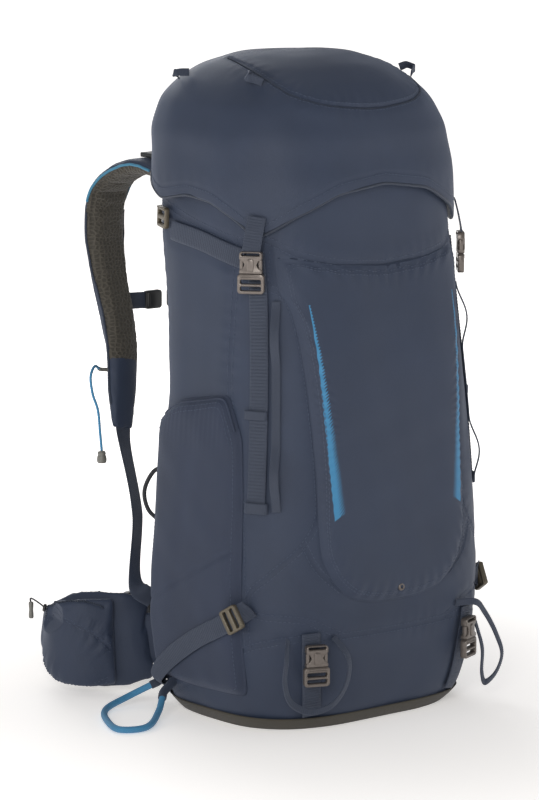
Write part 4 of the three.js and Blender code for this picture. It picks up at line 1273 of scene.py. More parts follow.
# %% Moulded plates
def rounded_box(width, height, radius, middle=(0, 0), corner=5):
    points = []
    for quarter, (sx, sy) in enumerate(((1, 1), (-1, 1), (-1, -1), (1, -1))):
        cx, cy = sx * (width / 2 - radius) + middle[0], sy * (height / 2 - radius) + middle[1]
        for k in range(corner + 1):
            a = (quarter + k / corner) * math.pi / 2
            points.append((cx + radius * math.cos(a), cy + radius * math.sin(a)))
    return points


def plate(outlines, thick, edge, lift=0.0):
    """A bmesh plate in millimetres from an outline and its holes, with rounded edges."""
    curve = bpy.data.curves.new("plate", "CURVE")
    curve.dimensions, curve.fill_mode = "2D", "BOTH"
    curve.extrude, curve.bevel_depth, curve.bevel_resolution = thick / 2 - edge, edge, 1
    curve.offset = -edge
    for outline in outlines:
        spline = curve.splines.new("POLY")
        spline.points.add(len(outline) - 1)
        for point, (x, y) in zip(spline.points, outline):
            point.co = (x, y, 0, 1)
        spline.use_cyclic_u = True
    holder = new_object("plate", curve)
    mesh = bpy.data.meshes.new_from_object(holder)
    bpy.data.objects.remove(holder)
    made = bmesh.new()
    made.from_mesh(mesh)
    bpy.data.meshes.remove(mesh)
    bmesh.ops.remove_doubles(made, verts=made.verts, dist=0.001)
    bmesh.ops.translate(made, verts=made.verts, vec=(0, 0, lift))
    return made


def moulding(name, plates, at, up_axis, out, material):
    """Joins plates, and places them with local y along up_axis and local z along out."""
    z = Vector(out).normalized()
    x = Vector(up_axis).cross(z).normalized()
    y = z.cross(x)
    whole = bmesh.new()
    for part in plates:
        mesh = bpy.data.meshes.new("part")
        part.to_mesh(mesh)
        part.free()
        whole.from_mesh(mesh)
        bpy.data.meshes.remove(mesh)
    for v in whole.verts:
        v.co = (Vector(at) + x * v.co.x + y * v.co.y + z * v.co.z) * MM
    bmesh.ops.recalc_face_normals(whole, faces=whole.faces)
    mesh = bpy.data.meshes.new(name)
    whole.to_mesh(mesh)
    whole.free()
    mesh.materials.append(material)
    mesh.shade_smooth()
    mesh.set_sharp_from_angle(angle=math.radians(50))
    return new_object(name, mesh)


print("a rounded outline has", len(rounded_box(10, 5, 1)), "points")

# %% Plates of each buckle
def socket_plates():
    w, h = BUCKLE_WIDTH / 2 - 2, 22.0
    outline = [
        (-w, 0.6), (-w + 0.6, 0), (w - 0.6, 0), (w, 0.6), (w, 3.4), (w - 3.6, 5.4), (w - 5.4, 9),
        (w - 3.6, 12.4), (w, 14.6), (w, h - 2), (w - 2, h), (-w + 2, h), (-w, h - 2), (-w, 14.6),
        (-w + 3.6, 12.4), (-w + 5.4, 9), (-w + 3.6, 5.4), (-w, 3.4)
    ]
    slot = rounded_box(18.6, 2.6, 1.2, (0, h - 2.9))
    rib = rounded_box(7.0, 13, 3.2, (0, 8.5))
    return [plate([outline, slot], 7.6, 0.8), plate([rib], 1.6, 0.6, 4.0)]


def frame_plates():
    w = BUCKLE_WIDTH
    bars = [rounded_box(w - 6, 4.2, 1.4, (0, y)) for y in (-8.2, -15)]
    grip = [rounded_box(w - 7, 1.1, 0.5, (0, y)) for y in (-2.2, -4.2)]
    arms = [plate([rounded_box(3.6, 15, 1.6, (s * (w / 2 - 4.0), 6.8))], 4.2, 0.8) for s in (-1, 1)]
    return [plate([rounded_box(w, 20, 3.4, (0, -10.4)), *bars], 6.6, 0.9)] + [
        plate([g], 0.9, 0.3, 3.6) for g in grip
    ] + arms


def lock_plates(width):
    thick = 5.0
    holes = [rounded_box(width + 0.6, 4.4, 1.5, (0, y)) for y in (-4.8, 4.8)]
    lip = rounded_box(width + 4, 2.2, 1.0, (0, 9.4))
    return [
        plate([rounded_box(width + 6, 22, 3.0), *holes], thick, 0.9), plate([lip], 1.4, 0.5, thick / 2 + 0.2)
    ]


def facing(sign, degrees):
    a = math.radians(degrees)
    return np.array((sign * math.sin(a), -math.cos(a), 0.0))


def buckle(place, side, at, out, body):
    """Both halves of a side-release buckle: the socket rides on body, the prongs on their own."""
    socket = moulding("%s_socket_%s" % (place, side), socket_plates(), at, (0, 0, 1), out, PEWTER)
    finish_piece(socket, body, "buckle_plastic", "%s_buckle_female_%s" % (place, side))
    prongs = moulding("%s_prongs_%s" % (place, side), frame_plates(), at, (0, 0, 1), out, PEWTER)
    male = "%s_buckle_male_%s" % (place, side)
    finish_piece(prongs, male, "buckle_plastic", male)


print("buckles are", BUCKLE_WIDTH, "mm wide")

# %% Lid buckles
LID_BUCKLE_TURN, BASE_BUCKLE_TURN = 52, 22
for side, sign in SIDES.items():
    out = facing(sign, LID_BUCKLE_TURN)
    at = onto(BODY, [(sign * 134, -38, 468)], 0)[0] + out * 14
    buckle("lid", side, at, out, "lid")
    top = onto(LID_BY_HEIGHT, [(sign * 136, -46, 524)], 2.6)[0]
    low = at + np.array((0, 0, 20.5)) + out * 0.5
    middle = (top + low) / 2 + out
    free_tape(
        "lid_tab_" + side, [low - out * 2.0, low, middle, top], WEBBING_WIDTH - 1.6, out, "lid", None, 1.6,
        2.8
    )
print("lid buckles face", LID_BUCKLE_TURN, "degrees off the front")

# %% Base buckles
for side, sign in SIDES.items():
    out = facing(sign, BASE_BUCKLE_TURN)
    at = onto(BODY, [(sign * 100, -92, 73)], 0)[0] + out * 11
    buckle("base", side, at, out, "pack")
print("base buckles face", BASE_BUCKLE_TURN, "degrees off the front")

# %% Ladder locks
for side, sign in SIDES.items():
    hook = onto(BODY, [(sign * 140, 104, 512)], 5)[0]
    lock = moulding(
        "upper_lock_" + side, lock_plates(16), hook, (0, -0.1, 1), outward(BODY, hook[None])[0], BRONZE
    )
    finish_piece(lock, "pack", "hardware_plastic", "upper_side_buckle_" + side)
    seat = onto(BODY, [(sign * 160, -44, 121)], 15.4)[0]
    lock = moulding(
        "lower_lock_" + side, lock_plates(20), seat, (0, -0.85, 0.5), outward(BODY, seat[None])[0], BRONZE
    )
    finish_piece(lock, "pack", "hardware_plastic", "lower_side_buckle_" + side)
    lifter = moulding(
        "lifter_lock_" + side, lock_plates(14), (sign * 67, 206, 564.4), (0, -1, 0), (0, 0, 1), BLACK_PLASTIC
    )
    finish_piece(lifter, "shoulder_strap_" + side, "black_plastic", "load_lifter_" + side)

# %% [markdown]
# ## Padding, by cloth simulation
# Shoulder pads, hip wings and the belt pockets are foam inside tight cloth, so they are simulated:
# the frame's solid is remeshed into even quads, blown up gently as cloth for twenty frames, and held
# to a few millimetres of travel. The left one of each pair is simulated and mirrored, because a pair
# is cut from the same pattern.

# %% Points of a mesh
WELD_DISTANCE = 0.00002


def world_points(mesh):
    points = np.empty(len(mesh.vertices) * 3)
    mesh.vertices.foreach_get("co", points)
    return points.reshape(-1, 3)


def set_points(mesh, points):
    mesh.vertices.foreach_set("co", np.asarray(points, float).ravel())
    mesh.update()


def apply_modifiers(obj):
    made = bpy.data.meshes.new_from_object(obj.evaluated_get(bpy.context.evaluated_depsgraph_get()))
    obj.modifiers.clear()
    old, obj.data = obj.data, made
    bpy.data.meshes.remove(old)


def vertex_normals(mesh):
    normals = np.empty(len(mesh.vertices) * 3)
    mesh.vertex_normals.foreach_get("vector", normals)
    return normals.reshape(-1, 3)


# %% Pad blown up as cloth
CLOTH_FRAMES = 20


def blown_pad(name, node_name, voxel, shrink, pressure, cap):
    source = bpy.data.objects[node_name]
    pad = new_object(name, source.data.copy())
    weld = pad.modifiers.new("weld", "WELD")
    weld.merge_threshold = WELD_DISTANCE
    remesh = pad.modifiers.new("even", "REMESH")
    remesh.mode, remesh.voxel_size, remesh.use_smooth_shade = "VOXEL", voxel * MM, True
    relax = pad.modifiers.new("relax", "SMOOTH")
    relax.factor, relax.iterations = 0.6, 5
    apply_modifiers(pad)
    start = world_points(pad.data) - vertex_normals(pad.data) * shrink * MM
    set_points(pad.data, start)
    cloth = pad.modifiers.new("cloth", "CLOTH")
    cloth.settings.use_pressure = True
    cloth.settings.uniform_pressure_force = pressure
    cloth.settings.effector_weights.gravity = 0
    cloth.settings.quality = 4
    cloth.point_cache.frame_start, cloth.point_cache.frame_end = 1, CLOTH_FRAMES
    for frame_number in range(1, CLOTH_FRAMES + 1):
        bpy.context.scene.frame_set(frame_number)
    apply_modifiers(pad)
    bpy.context.scene.frame_set(1)
    moved = world_points(pad.data) - start
    far = np.linalg.norm(moved, axis=1, keepdims=True)
    set_points(pad.data, start + moved * np.minimum(1, cap * MM / np.maximum(far, 1e-9)))
    subdivide = pad.modifiers.new("subdivide", "SUBSURF")
    subdivide.levels = subdivide.render_levels = 1
    apply_modifiers(pad)
    pad.data.materials.clear()
    return pad


print("cloth runs for", CLOTH_FRAMES, "frames")

# %% Mirrored pad and honeycomb
MESH_CELL = 6.4


def nearest_on_path(points, path):
    tree = kdtree.KDTree(len(path))
    for i, p in enumerate(path):
        tree.insert(p, i)
    tree.balance()
    return np.array([tree.find(p)[1] for p in points])


def honeycomb(u, v, cell):
    """Distance to the nearest middle of a honeycomb cell, as a share of half a cell."""
    rise = cell * math.sqrt(3)
    best = np.full(u.shape, 1e9)
    for shift in (0.0, 0.5):
        du = (u / cell - shift + 0.5) % 1 - 0.5
        dv = (v / rise - shift + 0.5) % 1 - 0.5
        best = np.minimum(best, np.hypot(du * cell, dv * rise))
    return best / (cell / 2)


def mirror_piece(name, obj):
    mesh = bmesh.new()
    mesh.from_mesh(obj.data)
    bmesh.ops.scale(mesh, verts=mesh.verts, vec=(-1, 1, 1))
    bmesh.ops.reverse_faces(mesh, faces=mesh.faces)
    copy = bpy.data.meshes.new(name)
    mesh.to_mesh(copy)
    mesh.free()
    for material in obj.data.materials:
        if len(copy.materials) < len(obj.data.materials):
            copy.materials.append(material)
    return new_object(name, copy)


def finish_pair(left, body, slot, node_name):
    """The left pad and its mirror, each on its own side's body."""
    right = mirror_piece(left.name.replace("left", "right"), left)
    for side, cushion in (("left", left), ("right", right)):
        finish_piece(cushion, body + side, slot, node_name + side)


print("honeycomb cells are", MESH_CELL, "mm across")

# %% Dressed pad
def dress_pad(pad, path, across, inner, materials, quilting=None, comb=0.35, navy_after=2.0):
    """UVs along the path, spacer mesh where the pad faces inner, cloth elsewhere, and relief."""
    mesh = pad.data
    points, normals = world_points(mesh) / MM, vertex_normals(mesh)
    index = nearest_on_path(points, path)
    run = distances(path)
    side = np.einsum("ij,ij->i", points - path[index], across[index])
    along = run[index] + np.einsum("ij,ij->i", points - path[index], directions(path)[index])
    toward = np.einsum("ij,ij->i", normals, inner[index])
    mesh_share = ease((toward - 0.05) / 0.3) * (along / run[-1] < navy_after)
    lift = comb * ease((honeycomb(side, along, MESH_CELL) - 0.45) / 0.5) * mesh_share
    if quilting is not None:
        lift = lift + quilting(side, along, toward)
    set_points(mesh, (points + normals * lift[:, None]) * MM)
    for material in materials:
        mesh.materials.append(material)
    count = len(mesh.loops)
    corner = np.empty(count, np.int32)
    mesh.loops.foreach_get("vertex_index", corner)
    layer = mesh.uv_layers.new(name="UVMap")
    layer.data.foreach_set("uv", (np.stack([side, along], 1)[corner] * MM).ravel())
    face = np.array([p.vertices[0] for p in mesh.polygons])
    is_mesh = (toward[face] > 0.02) & (along[face] / run[-1] < navy_after)
    mesh.polygons.foreach_set("material_index", np.where(is_mesh, 0, 1).astype(np.int32))
    mesh.polygons.foreach_set("use_smooth", np.full(len(mesh.polygons), True))
    mesh.update()


print("pads wear", MESH_BROWN.name, "towards the wearer")

# %% Middle line of a shoulder pad
PAD_LINE = [
    (62, 170, 538), (66, 194, 552), (71, 230, 552), (78, 266, 526), (80, 273, 482), (81, 266, 436),
    (82, 251, 390), (88, 236, 350), (96, 224, 310), (103, 214, 274)
]
PAD_WIDTHS = [46, 56, 62, 62, 60, 56, 52, 48, 42, 30]


def pad_frame(sign):
    path = smooth_path(mirrored(PAD_LINE, sign), 2.0)
    ahead = directions(path)
    level = np.array((sign, -0.12, 0.0))
    across = level - ahead * (ahead @ level)[:, None]
    across = unit(across)
    inner = np.cross(across, ahead) * sign
    return path, across, inner


path, across, inner = pad_frame(-1)
inner = inner if inner[len(path) // 2][1] < 0 else -inner
print("a pad is", round(len(path) * 2), "mm long")

# %% Shoulder pads
PAD_BLUE_SHARE, PAD_MESH_SHARE = 0.36, 0.80


def pad_quilting(side, along, toward):
    edge = 30 - np.abs(side)
    return -0.9 * np.exp(-(((edge - 5.5) / 1.6) ** 2)) * (np.abs(toward) > 0.2)


pad = blown_pad("shoulder_cushion_left", "shoulder_pad_left", 3.0, 0.6, 4.0, 5.0)
dress_pad(pad, path, across, inner, [MESH_BROWN, NAVY], pad_quilting, navy_after=PAD_MESH_SHARE)
finish_pair(pad, "shoulder_strap_", "spacer_mesh", "shoulder_pad_")
print("shoulder cushion:", len(pad.data.polygons), "faces each")

# %% [markdown]
# The hip wings wrap forward from the lumbar pad, with a zipped pocket on the outside of each. The
# wing has spacer mesh towards the wearer. The pocket is all cloth: a zip follows its upper edge,
# with a seam below it and one along its lower edge, and puckers radiate from each of them.

# %% Hip wings
WING_LINE = [(106, 163, 60), (132, 176, 58), (152, 200, 57), (163, 228, 56), (165, 254, 57), (158, 278, 60)]


def wing_frame(points, sign):
    path = smooth_path(mirrored(points, sign), 2.0)
    ahead = directions(path)
    face = np.array((sign, -0.3, 0.0))
    across = np.cross(ahead, face)
    across = unit(across)
    inner = np.cross(across, ahead)
    inner = np.where((inner @ face)[:, None] > 0, -inner, inner)
    return path, across, inner


path, across, inner = wing_frame(WING_LINE, -1)
wing = blown_pad("hip_wing_left", "belt_wing_left", 3.4, 0.6, 4.0, 5.0)
dress_pad(wing, path, across, inner, [MESH_BROWN, NAVY])
finish_pair(wing, "hip_belt_", "spacer_mesh", "belt_wing_")
print("hip wing:", len(wing.data.polygons), "faces")

# %% Seams of the belt pouch
BELT_ZIP = [(-163, 170, 98), (-183, 196, 104), (-197, 222, 101), (-198, 246, 90), (-188, 264, 84)]
BELT_FLAP = [(-158, 166, 52), (-171, 180, 68), (-187, 202, 82), (-198, 226, 88), (-198, 246, 84)]
BELT_LOWER = [(-160, 172, 18), (-184, 198, 10), (-199, 224, 12), (-197, 248, 24), (-186, 266, 38)]
belt_pocket = blown_pad("belt_pouch_left", "belt_pocket_left", 3.0, 0.8, 5.0, 6.0)


def snap_to(obj, points, off, step=2.0):
    """A smooth line laid on a finished piece, raised by off millimetres, with the normals there."""
    tree = BVHTree.FromObject(obj, bpy.context.evaluated_depsgraph_get())
    places, normals = [], []
    for p in smooth_path(points, step):
        place, normal, _, _ = tree.find_nearest(Vector(p) * MM)
        places.append(np.array(place) / MM + np.array(normal) * off)
        normals.append(np.array(normal))
    return np.array(places), np.array(normals)


belt_lines = [snap_to(belt_pocket, line, 0.0)[0] for line in (BELT_ZIP, BELT_FLAP, BELT_LOWER)]
belt_seams = Lines(belt_lines)


def sew_pouch(obj):
    points, normals = world_points(obj.data) / MM, vertex_normals(obj.data)
    relief = sewn_relief(points, belt_seams, seed=61, fold=0.9, pucker=0.8, swell=0.5)
    set_points(obj.data, (points + normals * relief[:, None]) * MM)


print("seams of the pouch:", len(belt_lines))

# %% Belt pouches
SLIDER_START, SLIDER_WAY, SLIDER_TRAVEL = np.array((-189.0, 258.0, 88.0)), np.array((-0.3, -0.954, 0.0)), 40.0
SLIDER_OFF = 2.2


def clear_slider_way(obj, start):
    """The zip tape is stiff, so the cloth stays flat below the straight way of its slider."""
    points = world_points(obj.data) / MM
    out = np.cross(SLIDER_WAY, (0, 0, 1.0))
    out *= math.copysign(1.0, float(out @ (start - (0, start[1], start[2]))))
    local = points - start
    along, aside, height = local @ SLIDER_WAY, np.abs(local[:, 2]), local @ out
    past = np.maximum(0, np.maximum(-along - 6, along - SLIDER_TRAVEL - 7))
    roof = -2.6 - 2.6 * ease(along / 10) + 0.35 * np.maximum(0, aside - 7.0) ** 1.2 + 0.3 * past
    lowered = np.minimum(height, np.where((aside < 22) & (height > -20), roof, height))
    print("cloth pressed by up to", round(float((height - lowered).max()), 1), "mm below the slider's way")
    set_points(obj.data, (points + out * (lowered - height)[:, None]) * MM)


dress_pad(belt_pocket, path, across, -inner, [NAVY], comb=0.0)
sew_pouch(belt_pocket)
slider_seat = snap_to(belt_pocket, [SLIDER_START, SLIDER_START + (0, 0.5, 0)], SLIDER_OFF)[0][0]
clear_slider_way(belt_pocket, slider_seat)
for polygon in belt_pocket.data.polygons:
    polygon.material_index = 0
finish_pair(belt_pocket, "hip_belt_", "navy_fabric", "belt_pocket_")
print("belt pouch:", len(belt_pocket.data.polygons), "faces")

# %% [markdown]
# ## Cords, piping and round parts
# A cord is a tube that follows a smooth line. The pole loop is a braided cord that is sewn in near
# the sole, with a short sleeve at each end. The bungee hangs from the left shoulder pad and ends in
# a toggle.

# %% Tubes
def tube(name, path, radius, material, sides=12, swell=None):
    ahead = directions(path)
    side = np.cross(ahead, np.array((0, 0, 1.0)) + 1e-3)
    for i in range(1, len(side)):
        side[i] = side[i - 1] - ahead[i] * (side[i - 1] @ ahead[i])
        side[i] /= np.linalg.norm(side[i])
    side[0] = side[0] / np.linalg.norm(side[0])
    other = np.cross(ahead, side)
    run = distances(path)
    turn = np.linspace(0, 2 * np.pi, sides, endpoint=False)
    size = np.full(len(path), float(radius)) if swell is None else radius * swell(run / run[-1], run)
    spokes = side[:, None] * np.cos(turn)[None, :, None] + other[:, None] * np.sin(turn)[None, :, None]
    rings = path[:, None] + size[:, None, None] * spokes
    around = np.broadcast_to(turn * radius, rings.shape[:2])
    uv = np.stack([around, np.broadcast_to(run[:, None], rings.shape[:2])], -1) * MM
    return fix_outward(closed_rings(name, rings, uv, [material]))


def braid(share, run):
    """The small swell of each plait along a braided cord."""
    return 1 + 0.03 * np.sin(run * 2.1)


print("a plait is", round(2 * math.pi / 2.1, 1), "mm long")

# %% Pole loop, bungee and gear loop
POLE_LOOP = [
    (-142, 106, 26), (-170, 120, 12), (-204, 114, 5), (-235, 72, 4.2), (-246, 36, 4.2), (-222, 27, 4.2),
    (-185, 52, 10), (-164, 70, 24)
]
BUNGEE = [
    (-119.5, 232, 338), (-131, 226, 343), (-141, 220, 334), (-141, 217, 316), (-135, 216, 298),
    (-133, 215, 274), (-131, 215, 254.5)
]
loop_path = smooth_path(POLE_LOOP, 1.5)
SLEEVES = [
    ("rear", loop_path[0], loop_path[6], (-128, 102, 33)),
    ("front", loop_path[-1], loop_path[-7], (-146, 74, 34)),
]
pole_loop = finish_piece(
    tube("pole_loop_cord", loop_path, 3.45, BLUE_CORD, 16, braid), "pack", "blue_cord", "pole_loop"
)
for label, end, after, root in SLEEVES:
    seat = onto(BODY, [root], 0.5)[0]
    sleeve = tube(
        "pole_loop_sleeve_" + label, smooth_path([seat, (seat + end) / 2, end, after], 1.0), 4.5,
        NAVY_WEBBING, 14
    )
    finish_piece(sleeve, "pack", "navy_webbing")
bungee_path = smooth_path(BUNGEE, 1.0)
bungee = finish_piece(
    tube("bungee_cord_run", bungee_path, 1.48, BLUE_CORD, 10, braid), "shoulder_strap_left", "blue_cord",
    "bungee_cord"
)
GEAR_LOOP = [(248, 3.3), (243, 12.3), (222, 19.3), (202, 14.3), (190, 3.3)]
gear_guides = [onto(BODY, [(-116, 124, z)], off)[0] for z, off in GEAR_LOOP]
gear = tube("gear_loop_cord", smooth_path(gear_guides, 1.5), 2.25, BLACK_WEBBING, 12)
finish_piece(gear, "pack", "black_webbing", "side_gear_loop")
print("cords:", pole_loop.name, bungee.name, gear.name)

# %% Toggle
def turned(name, profile, middle, material, sides=28):
    """A turned part on an upright axis from (radius, height) pairs, bottom to top."""
    profile = smooth_path([(r, 0, z) for r, z in profile], 0.5)
    turn = np.linspace(0, 2 * np.pi, sides, endpoint=False)
    x, y = profile[:, :1] * np.cos(turn) + middle[0], profile[:, :1] * np.sin(turn) + middle[1]
    rings = np.stack([x, y, np.broadcast_to(profile[:, 2:] + middle[2], x.shape)], -1)
    uv = rings[..., (0, 2)] * MM
    return fix_outward(closed_rings(name, rings, uv, [material]))


TOGGLE = [
    (1.2, -13.8), (4.4, -13.2), (5.2, -10.6), (4.9, -7), (4.1, -4.6), (4.5, -3.4), (3.6, -1.2), (1.7, -0.4)
]
toggle = turned("bungee_toggle_bead", TOGGLE, BUNGEE[-1], GREY_PLASTIC)
finish_piece(toggle, "shoulder_strap_left", "grey_plastic", "bungee_toggle")

# %% [markdown]
# ## Harness webbing
# Below each pad the adjusting webbing runs down to the side of the sole. A sternum strap joins the
# pads, and the belt webbing closes with a wide clip. Blue piping binds the top of each pad.

# %% Shoulder and sternum webbing
CHEST_HEIGHT = 400
for side, sign in SIDES.items():
    body = "shoulder_strap_" + side
    start = np.array((sign * 104, 212, 267.0))
    end = onto(BODY, [(sign * 146, 112, 126)], 17)[0]
    middle = (start + end) / 2 + (-sign * 4, -6, 0)
    tail = onto(BODY, [(sign * 144, 116, 112)], 2.5)[0]
    free_tape(
        "adjuster_tape_" + side, [(sign * 101.5, 216, 284), start, middle, end, tail], WEBBING_WIDTH,
        (0, 1, 0.4), body, "shoulder_webbing_" + side, 1.6, 2.8
    )
    chest = np.array((sign * 79, 273, CHEST_HEIGHT + 2.0))
    inner_end = np.array((sign * 26, 273, float(CHEST_HEIGHT)))
    free_tape(
        "sternum_tape_" + side, [chest, (chest + inner_end) / 2, inner_end], 18, (0, 1, 0),
        "sternum_strap_" + side, None, 1.6, 2.6
    )
    frame_plate = plate([rounded_box(22, 20, 3.5), rounded_box(2.6, 14, 1.2, (7, 0))], 6, 0.9)
    face_plate = plate([rounded_box(9, 12, 3, (-3, 0))], 1.4, 0.5, 3.2)
    at = (sign * 16, 273, CHEST_HEIGHT)
    clip = moulding(
        "sternum_clip_" + side, [frame_plate, face_plate], at, (0, 0, 1), (0, 1, 0), BLACK_PLASTIC
    )
    finish_piece(clip, "sternum_strap_" + side, "black_plastic", "sternum_strap_" + side)
print("the sternum strap is at", CHEST_HEIGHT, "mm")

# %% Hip belt webbing
for side, sign in SIDES.items():
    belt = "hip_belt_" + side
    root = [(sign * 95, 135, 60), (sign * 103, 150, 59), (sign * 113, 163.5, 58)]
    face = (-sign * 0.6, 0.8, 0)
    free_tape("belt_root_" + side, root, 54, face, "pack", None, 7.0, material=NAVY, slot="navy_fabric")
    guides = [
        (sign * 161, 266, 60), (sign * 157, 280, 60), (sign * 146, 290, 60), (sign * 128, 292, 59),
        (sign * 42, 292, 58)
    ]
    free_tape("belt_tape_" + side, guides, 30, (0, 1, 0), belt, None, 1.8, 3.2)
    frame_plate = plate([rounded_box(36, 38, 6), rounded_box(3, 30, 1.4, (12, 0))], 9, 1.3)
    face_plate = plate([rounded_box(14, 22, 5, (-4, 0))], 1.8, 0.7, 4.8)
    at = (sign * 25, 292, 58)
    clip = moulding("belt_clip_" + side, [frame_plate, face_plate], at, (0, 0, 1), (0, 1, 0), BLACK_PLASTIC)
    finish_piece(clip, belt, "black_plastic", "belt_webbing_" + side)

# %% Piping and binding of the pads
def pad_edge(cushion, sign, edge_sign, first, last):
    path, across, _ = pad_frame(sign)
    run = np.linspace(0, 1, len(path))
    half = np.interp(run, np.linspace(0, 1, len(PAD_WIDTHS)), PAD_WIDTHS) / 2 + 6
    keep = (run >= first) & (run <= last)
    line = snap_to(cushion, (path + across * half[:, None] * edge_sign)[keep][::6], 0.5)[0]
    blur = np.ones(9) / 9
    return np.stack([np.convolve(np.pad(line[:, k], 4, "edge"), blur, "valid") for k in range(3)], 1)


for side, sign in SIDES.items():
    cushion = bpy.data.objects["shoulder_cushion_" + side]
    for label, edge_sign in (("outer", 1), ("inner", -1)):
        ending = "%s_%s" % (label, side)
        line = pad_edge(cushion, sign, edge_sign, 0.05, PAD_BLUE_SHARE)
        piping = tube("pad_piping_" + ending, line, 1.5, BLUE_PIPING, 10)
        finish_piece(piping, "shoulder_strap_" + side, "blue_cord")
        line = pad_edge(cushion, sign, edge_sign, PAD_BLUE_SHARE, 0.97)
        binding = tube("pad_binding_" + ending, line, 1.4, NAVY_WEBBING, 10)
        finish_piece(binding, "shoulder_strap_" + side, "navy_webbing")
print("piping runs over the first", PAD_BLUE_SHARE, "of each pad's edge")

# %% [markdown]
# A belt zip is opened by a tube grip on a cord loop, which hangs from the slider. The lid's pull
# keeps the frame's own solid, welded and bevelled, since it is a plain moulded tab. The frame sheet
# inside the back is extruded plastic and only needs its finish.

# %% Belt zip pulls
GRIP = [(0.9, -9.4), (2.3, -8.8), (2.5, -4), (2.2, 0), (2.5, 4), (2.3, 8.2), (0.9, 8.8)]
for side, sign in SIDES.items():
    pouch = bpy.data.objects["belt_pouch_" + side]
    start = SLIDER_START * (-sign, 1, 1)
    out = snap_to(pouch, [start, start + (0, 0.5, 0)], SLIDER_OFF)[1][0]
    seat = slider_seat * (-sign, 1, 1)
    grip_at = np.array((sign * 188, 266, 82))
    slider_plates = [plate([rounded_box(6, 9, 2.2)], 3.0, 0.7)]
    slider = moulding("belt_slider_" + side, slider_plates, seat, (0, 1, -0.5), out, BLACK_PLASTIC)
    finish_piece(slider, "belt_zip_pull_" + side, "grey_plastic")
    grip = turned("belt_pull_grip_" + side, GRIP, grip_at, GREY_PLASTIC, 20)
    finish_piece(grip, "belt_zip_pull_" + side, "grey_plastic", "belt_zip_pull_" + side)
    run = [seat, seat + out * 3 + (0, 1, 2), grip_at + (0, 1, 12), grip_at + (0, 0, 7)]
    loop = tube("belt_pull_cord_" + side, smooth_path(run, 0.8), 0.9, BLACK_WEBBING, 8)
    finish_piece(loop, "belt_zip_pull_" + side, "black_webbing")
print("belt grips are", round(GRIP[-1][1] - GRIP[0][1]), "mm tall")

# %% Ferrule, lid pull and hidden sheet
sunk = snap_to(bpy.data.objects["shoulder_cushion_left"], [BUNGEE[0], (-119.5, 232.5, 338)], -1.5)[0][0]
ferrule_path = smooth_path([sunk, (sunk + BUNGEE[0]) / 2, BUNGEE[0], bungee_path[3]], 0.8)
ferrule = tube("bungee_ferrule", ferrule_path, 2.1, GREY_PLASTIC)
finish_piece(ferrule, "shoulder_strap_left", "grey_plastic")
for name, finish in (("lid_zip_pull", GREY_PLASTIC), ("frame_sheet", SHEET_PLASTIC)):
    for slot in bpy.data.objects[name].material_slots:
        slot.material = finish
lid_pull = bpy.data.objects["lid_zip_pull"]
weld = lid_pull.modifiers.new("weld", "WELD")
weld.merge_threshold = WELD_DISTANCE
bevel = lid_pull.modifiers.new("bevel", "BEVEL")
bevel.width, bevel.segments, bevel.limit_method = 0.0005, 2, "ANGLE"
print("materials in use:", len(bpy.data.materials))

# %% [markdown]
# ## Stitches and zip teeth
# A seam shows as a row of short thread beads a few millimetres beside it. There are thousands, all
# alike, so Geometry Nodes place them: the seam line is resampled at the stitch pitch, a small bead is
# put on each point along the line, and the result is made real. Zip teeth are short wide beads, so
# the same tree serves them with other inputs, and each body gets one plain mesh of its own.

# %% Node trees
def tree_with_inputs(name, sockets):
    tree = bpy.data.node_groups.new(name, "GeometryNodeTree")
    tree.interface.new_socket("Geometry", in_out="OUTPUT", socket_type="NodeSocketGeometry")
    tree.interface.new_socket("Geometry", in_out="INPUT", socket_type="NodeSocketGeometry")
    for label, value in sockets:
        kind = "NodeSocketMaterial" if isinstance(value, bpy.types.Material) else "NodeSocketFloat"
        socket = tree.interface.new_socket(label, in_out="INPUT", socket_type=kind)
        socket.default_value = value
    return tree, node(tree, "NodeGroupInput"), node(tree, "NodeGroupOutput")


def finish_tree(tree, placed, enter, leave):
    real = node(tree, "GeometryNodeRealizeInstances", Geometry=(placed, "Instances"))
    smooth = node(tree, "GeometryNodeSetShadeSmooth", Geometry=(real, "Geometry"))
    finish = node(tree, "GeometryNodeSetMaterial", Geometry=(smooth, "Geometry"), Material=(enter, "Finish"))
    tree.links.new(finish.outputs["Geometry"], leave.inputs["Geometry"])
    return tree


def along_line(tree, enter):
    curve = node(tree, "GeometryNodeMeshToCurve", Mesh=(enter, "Geometry"))
    points = node(
        tree, "GeometryNodeResampleCurve", {"mode": "LENGTH"}, Curve=(curve, "Curve"), Length=(enter, "Pitch")
    )
    return points, node(tree, "GeometryNodeInputTangent")


print("node trees so far:", len(bpy.data.node_groups))

# %% Bead tree
BEAD_INPUTS = [("Pitch", 0.0045), ("Bead width", 0.00084), ("Bead length", 0.0034), ("Finish", THREAD)]


def bead_tree():
    tree, enter, leave = tree_with_inputs("bead_row", BEAD_INPUTS)
    points, tangent = along_line(tree, enter)
    turn = node(tree, "FunctionNodeAlignRotationToVector", {"axis": "Z"}, Vector=(tangent, 0))
    bead = node(tree, "GeometryNodeMeshUVSphere", Segments=6, Rings=4, Radius=0.5)
    width = (enter, "Bead width")
    size = node(tree, "ShaderNodeCombineXYZ", X=width, Y=width, Z=(enter, "Bead length"))
    placed = node(
        tree, "GeometryNodeInstanceOnPoints", Points=(points, "Curve"), Instance=(bead, "Mesh"),
        Rotation=(turn, "Rotation"), Scale=(size, 0)
    )
    return finish_tree(tree, placed, enter, leave)


BEAD_TREE = bead_tree()
print("tree:", BEAD_TREE.name, "with", len(BEAD_TREE.nodes), "nodes")


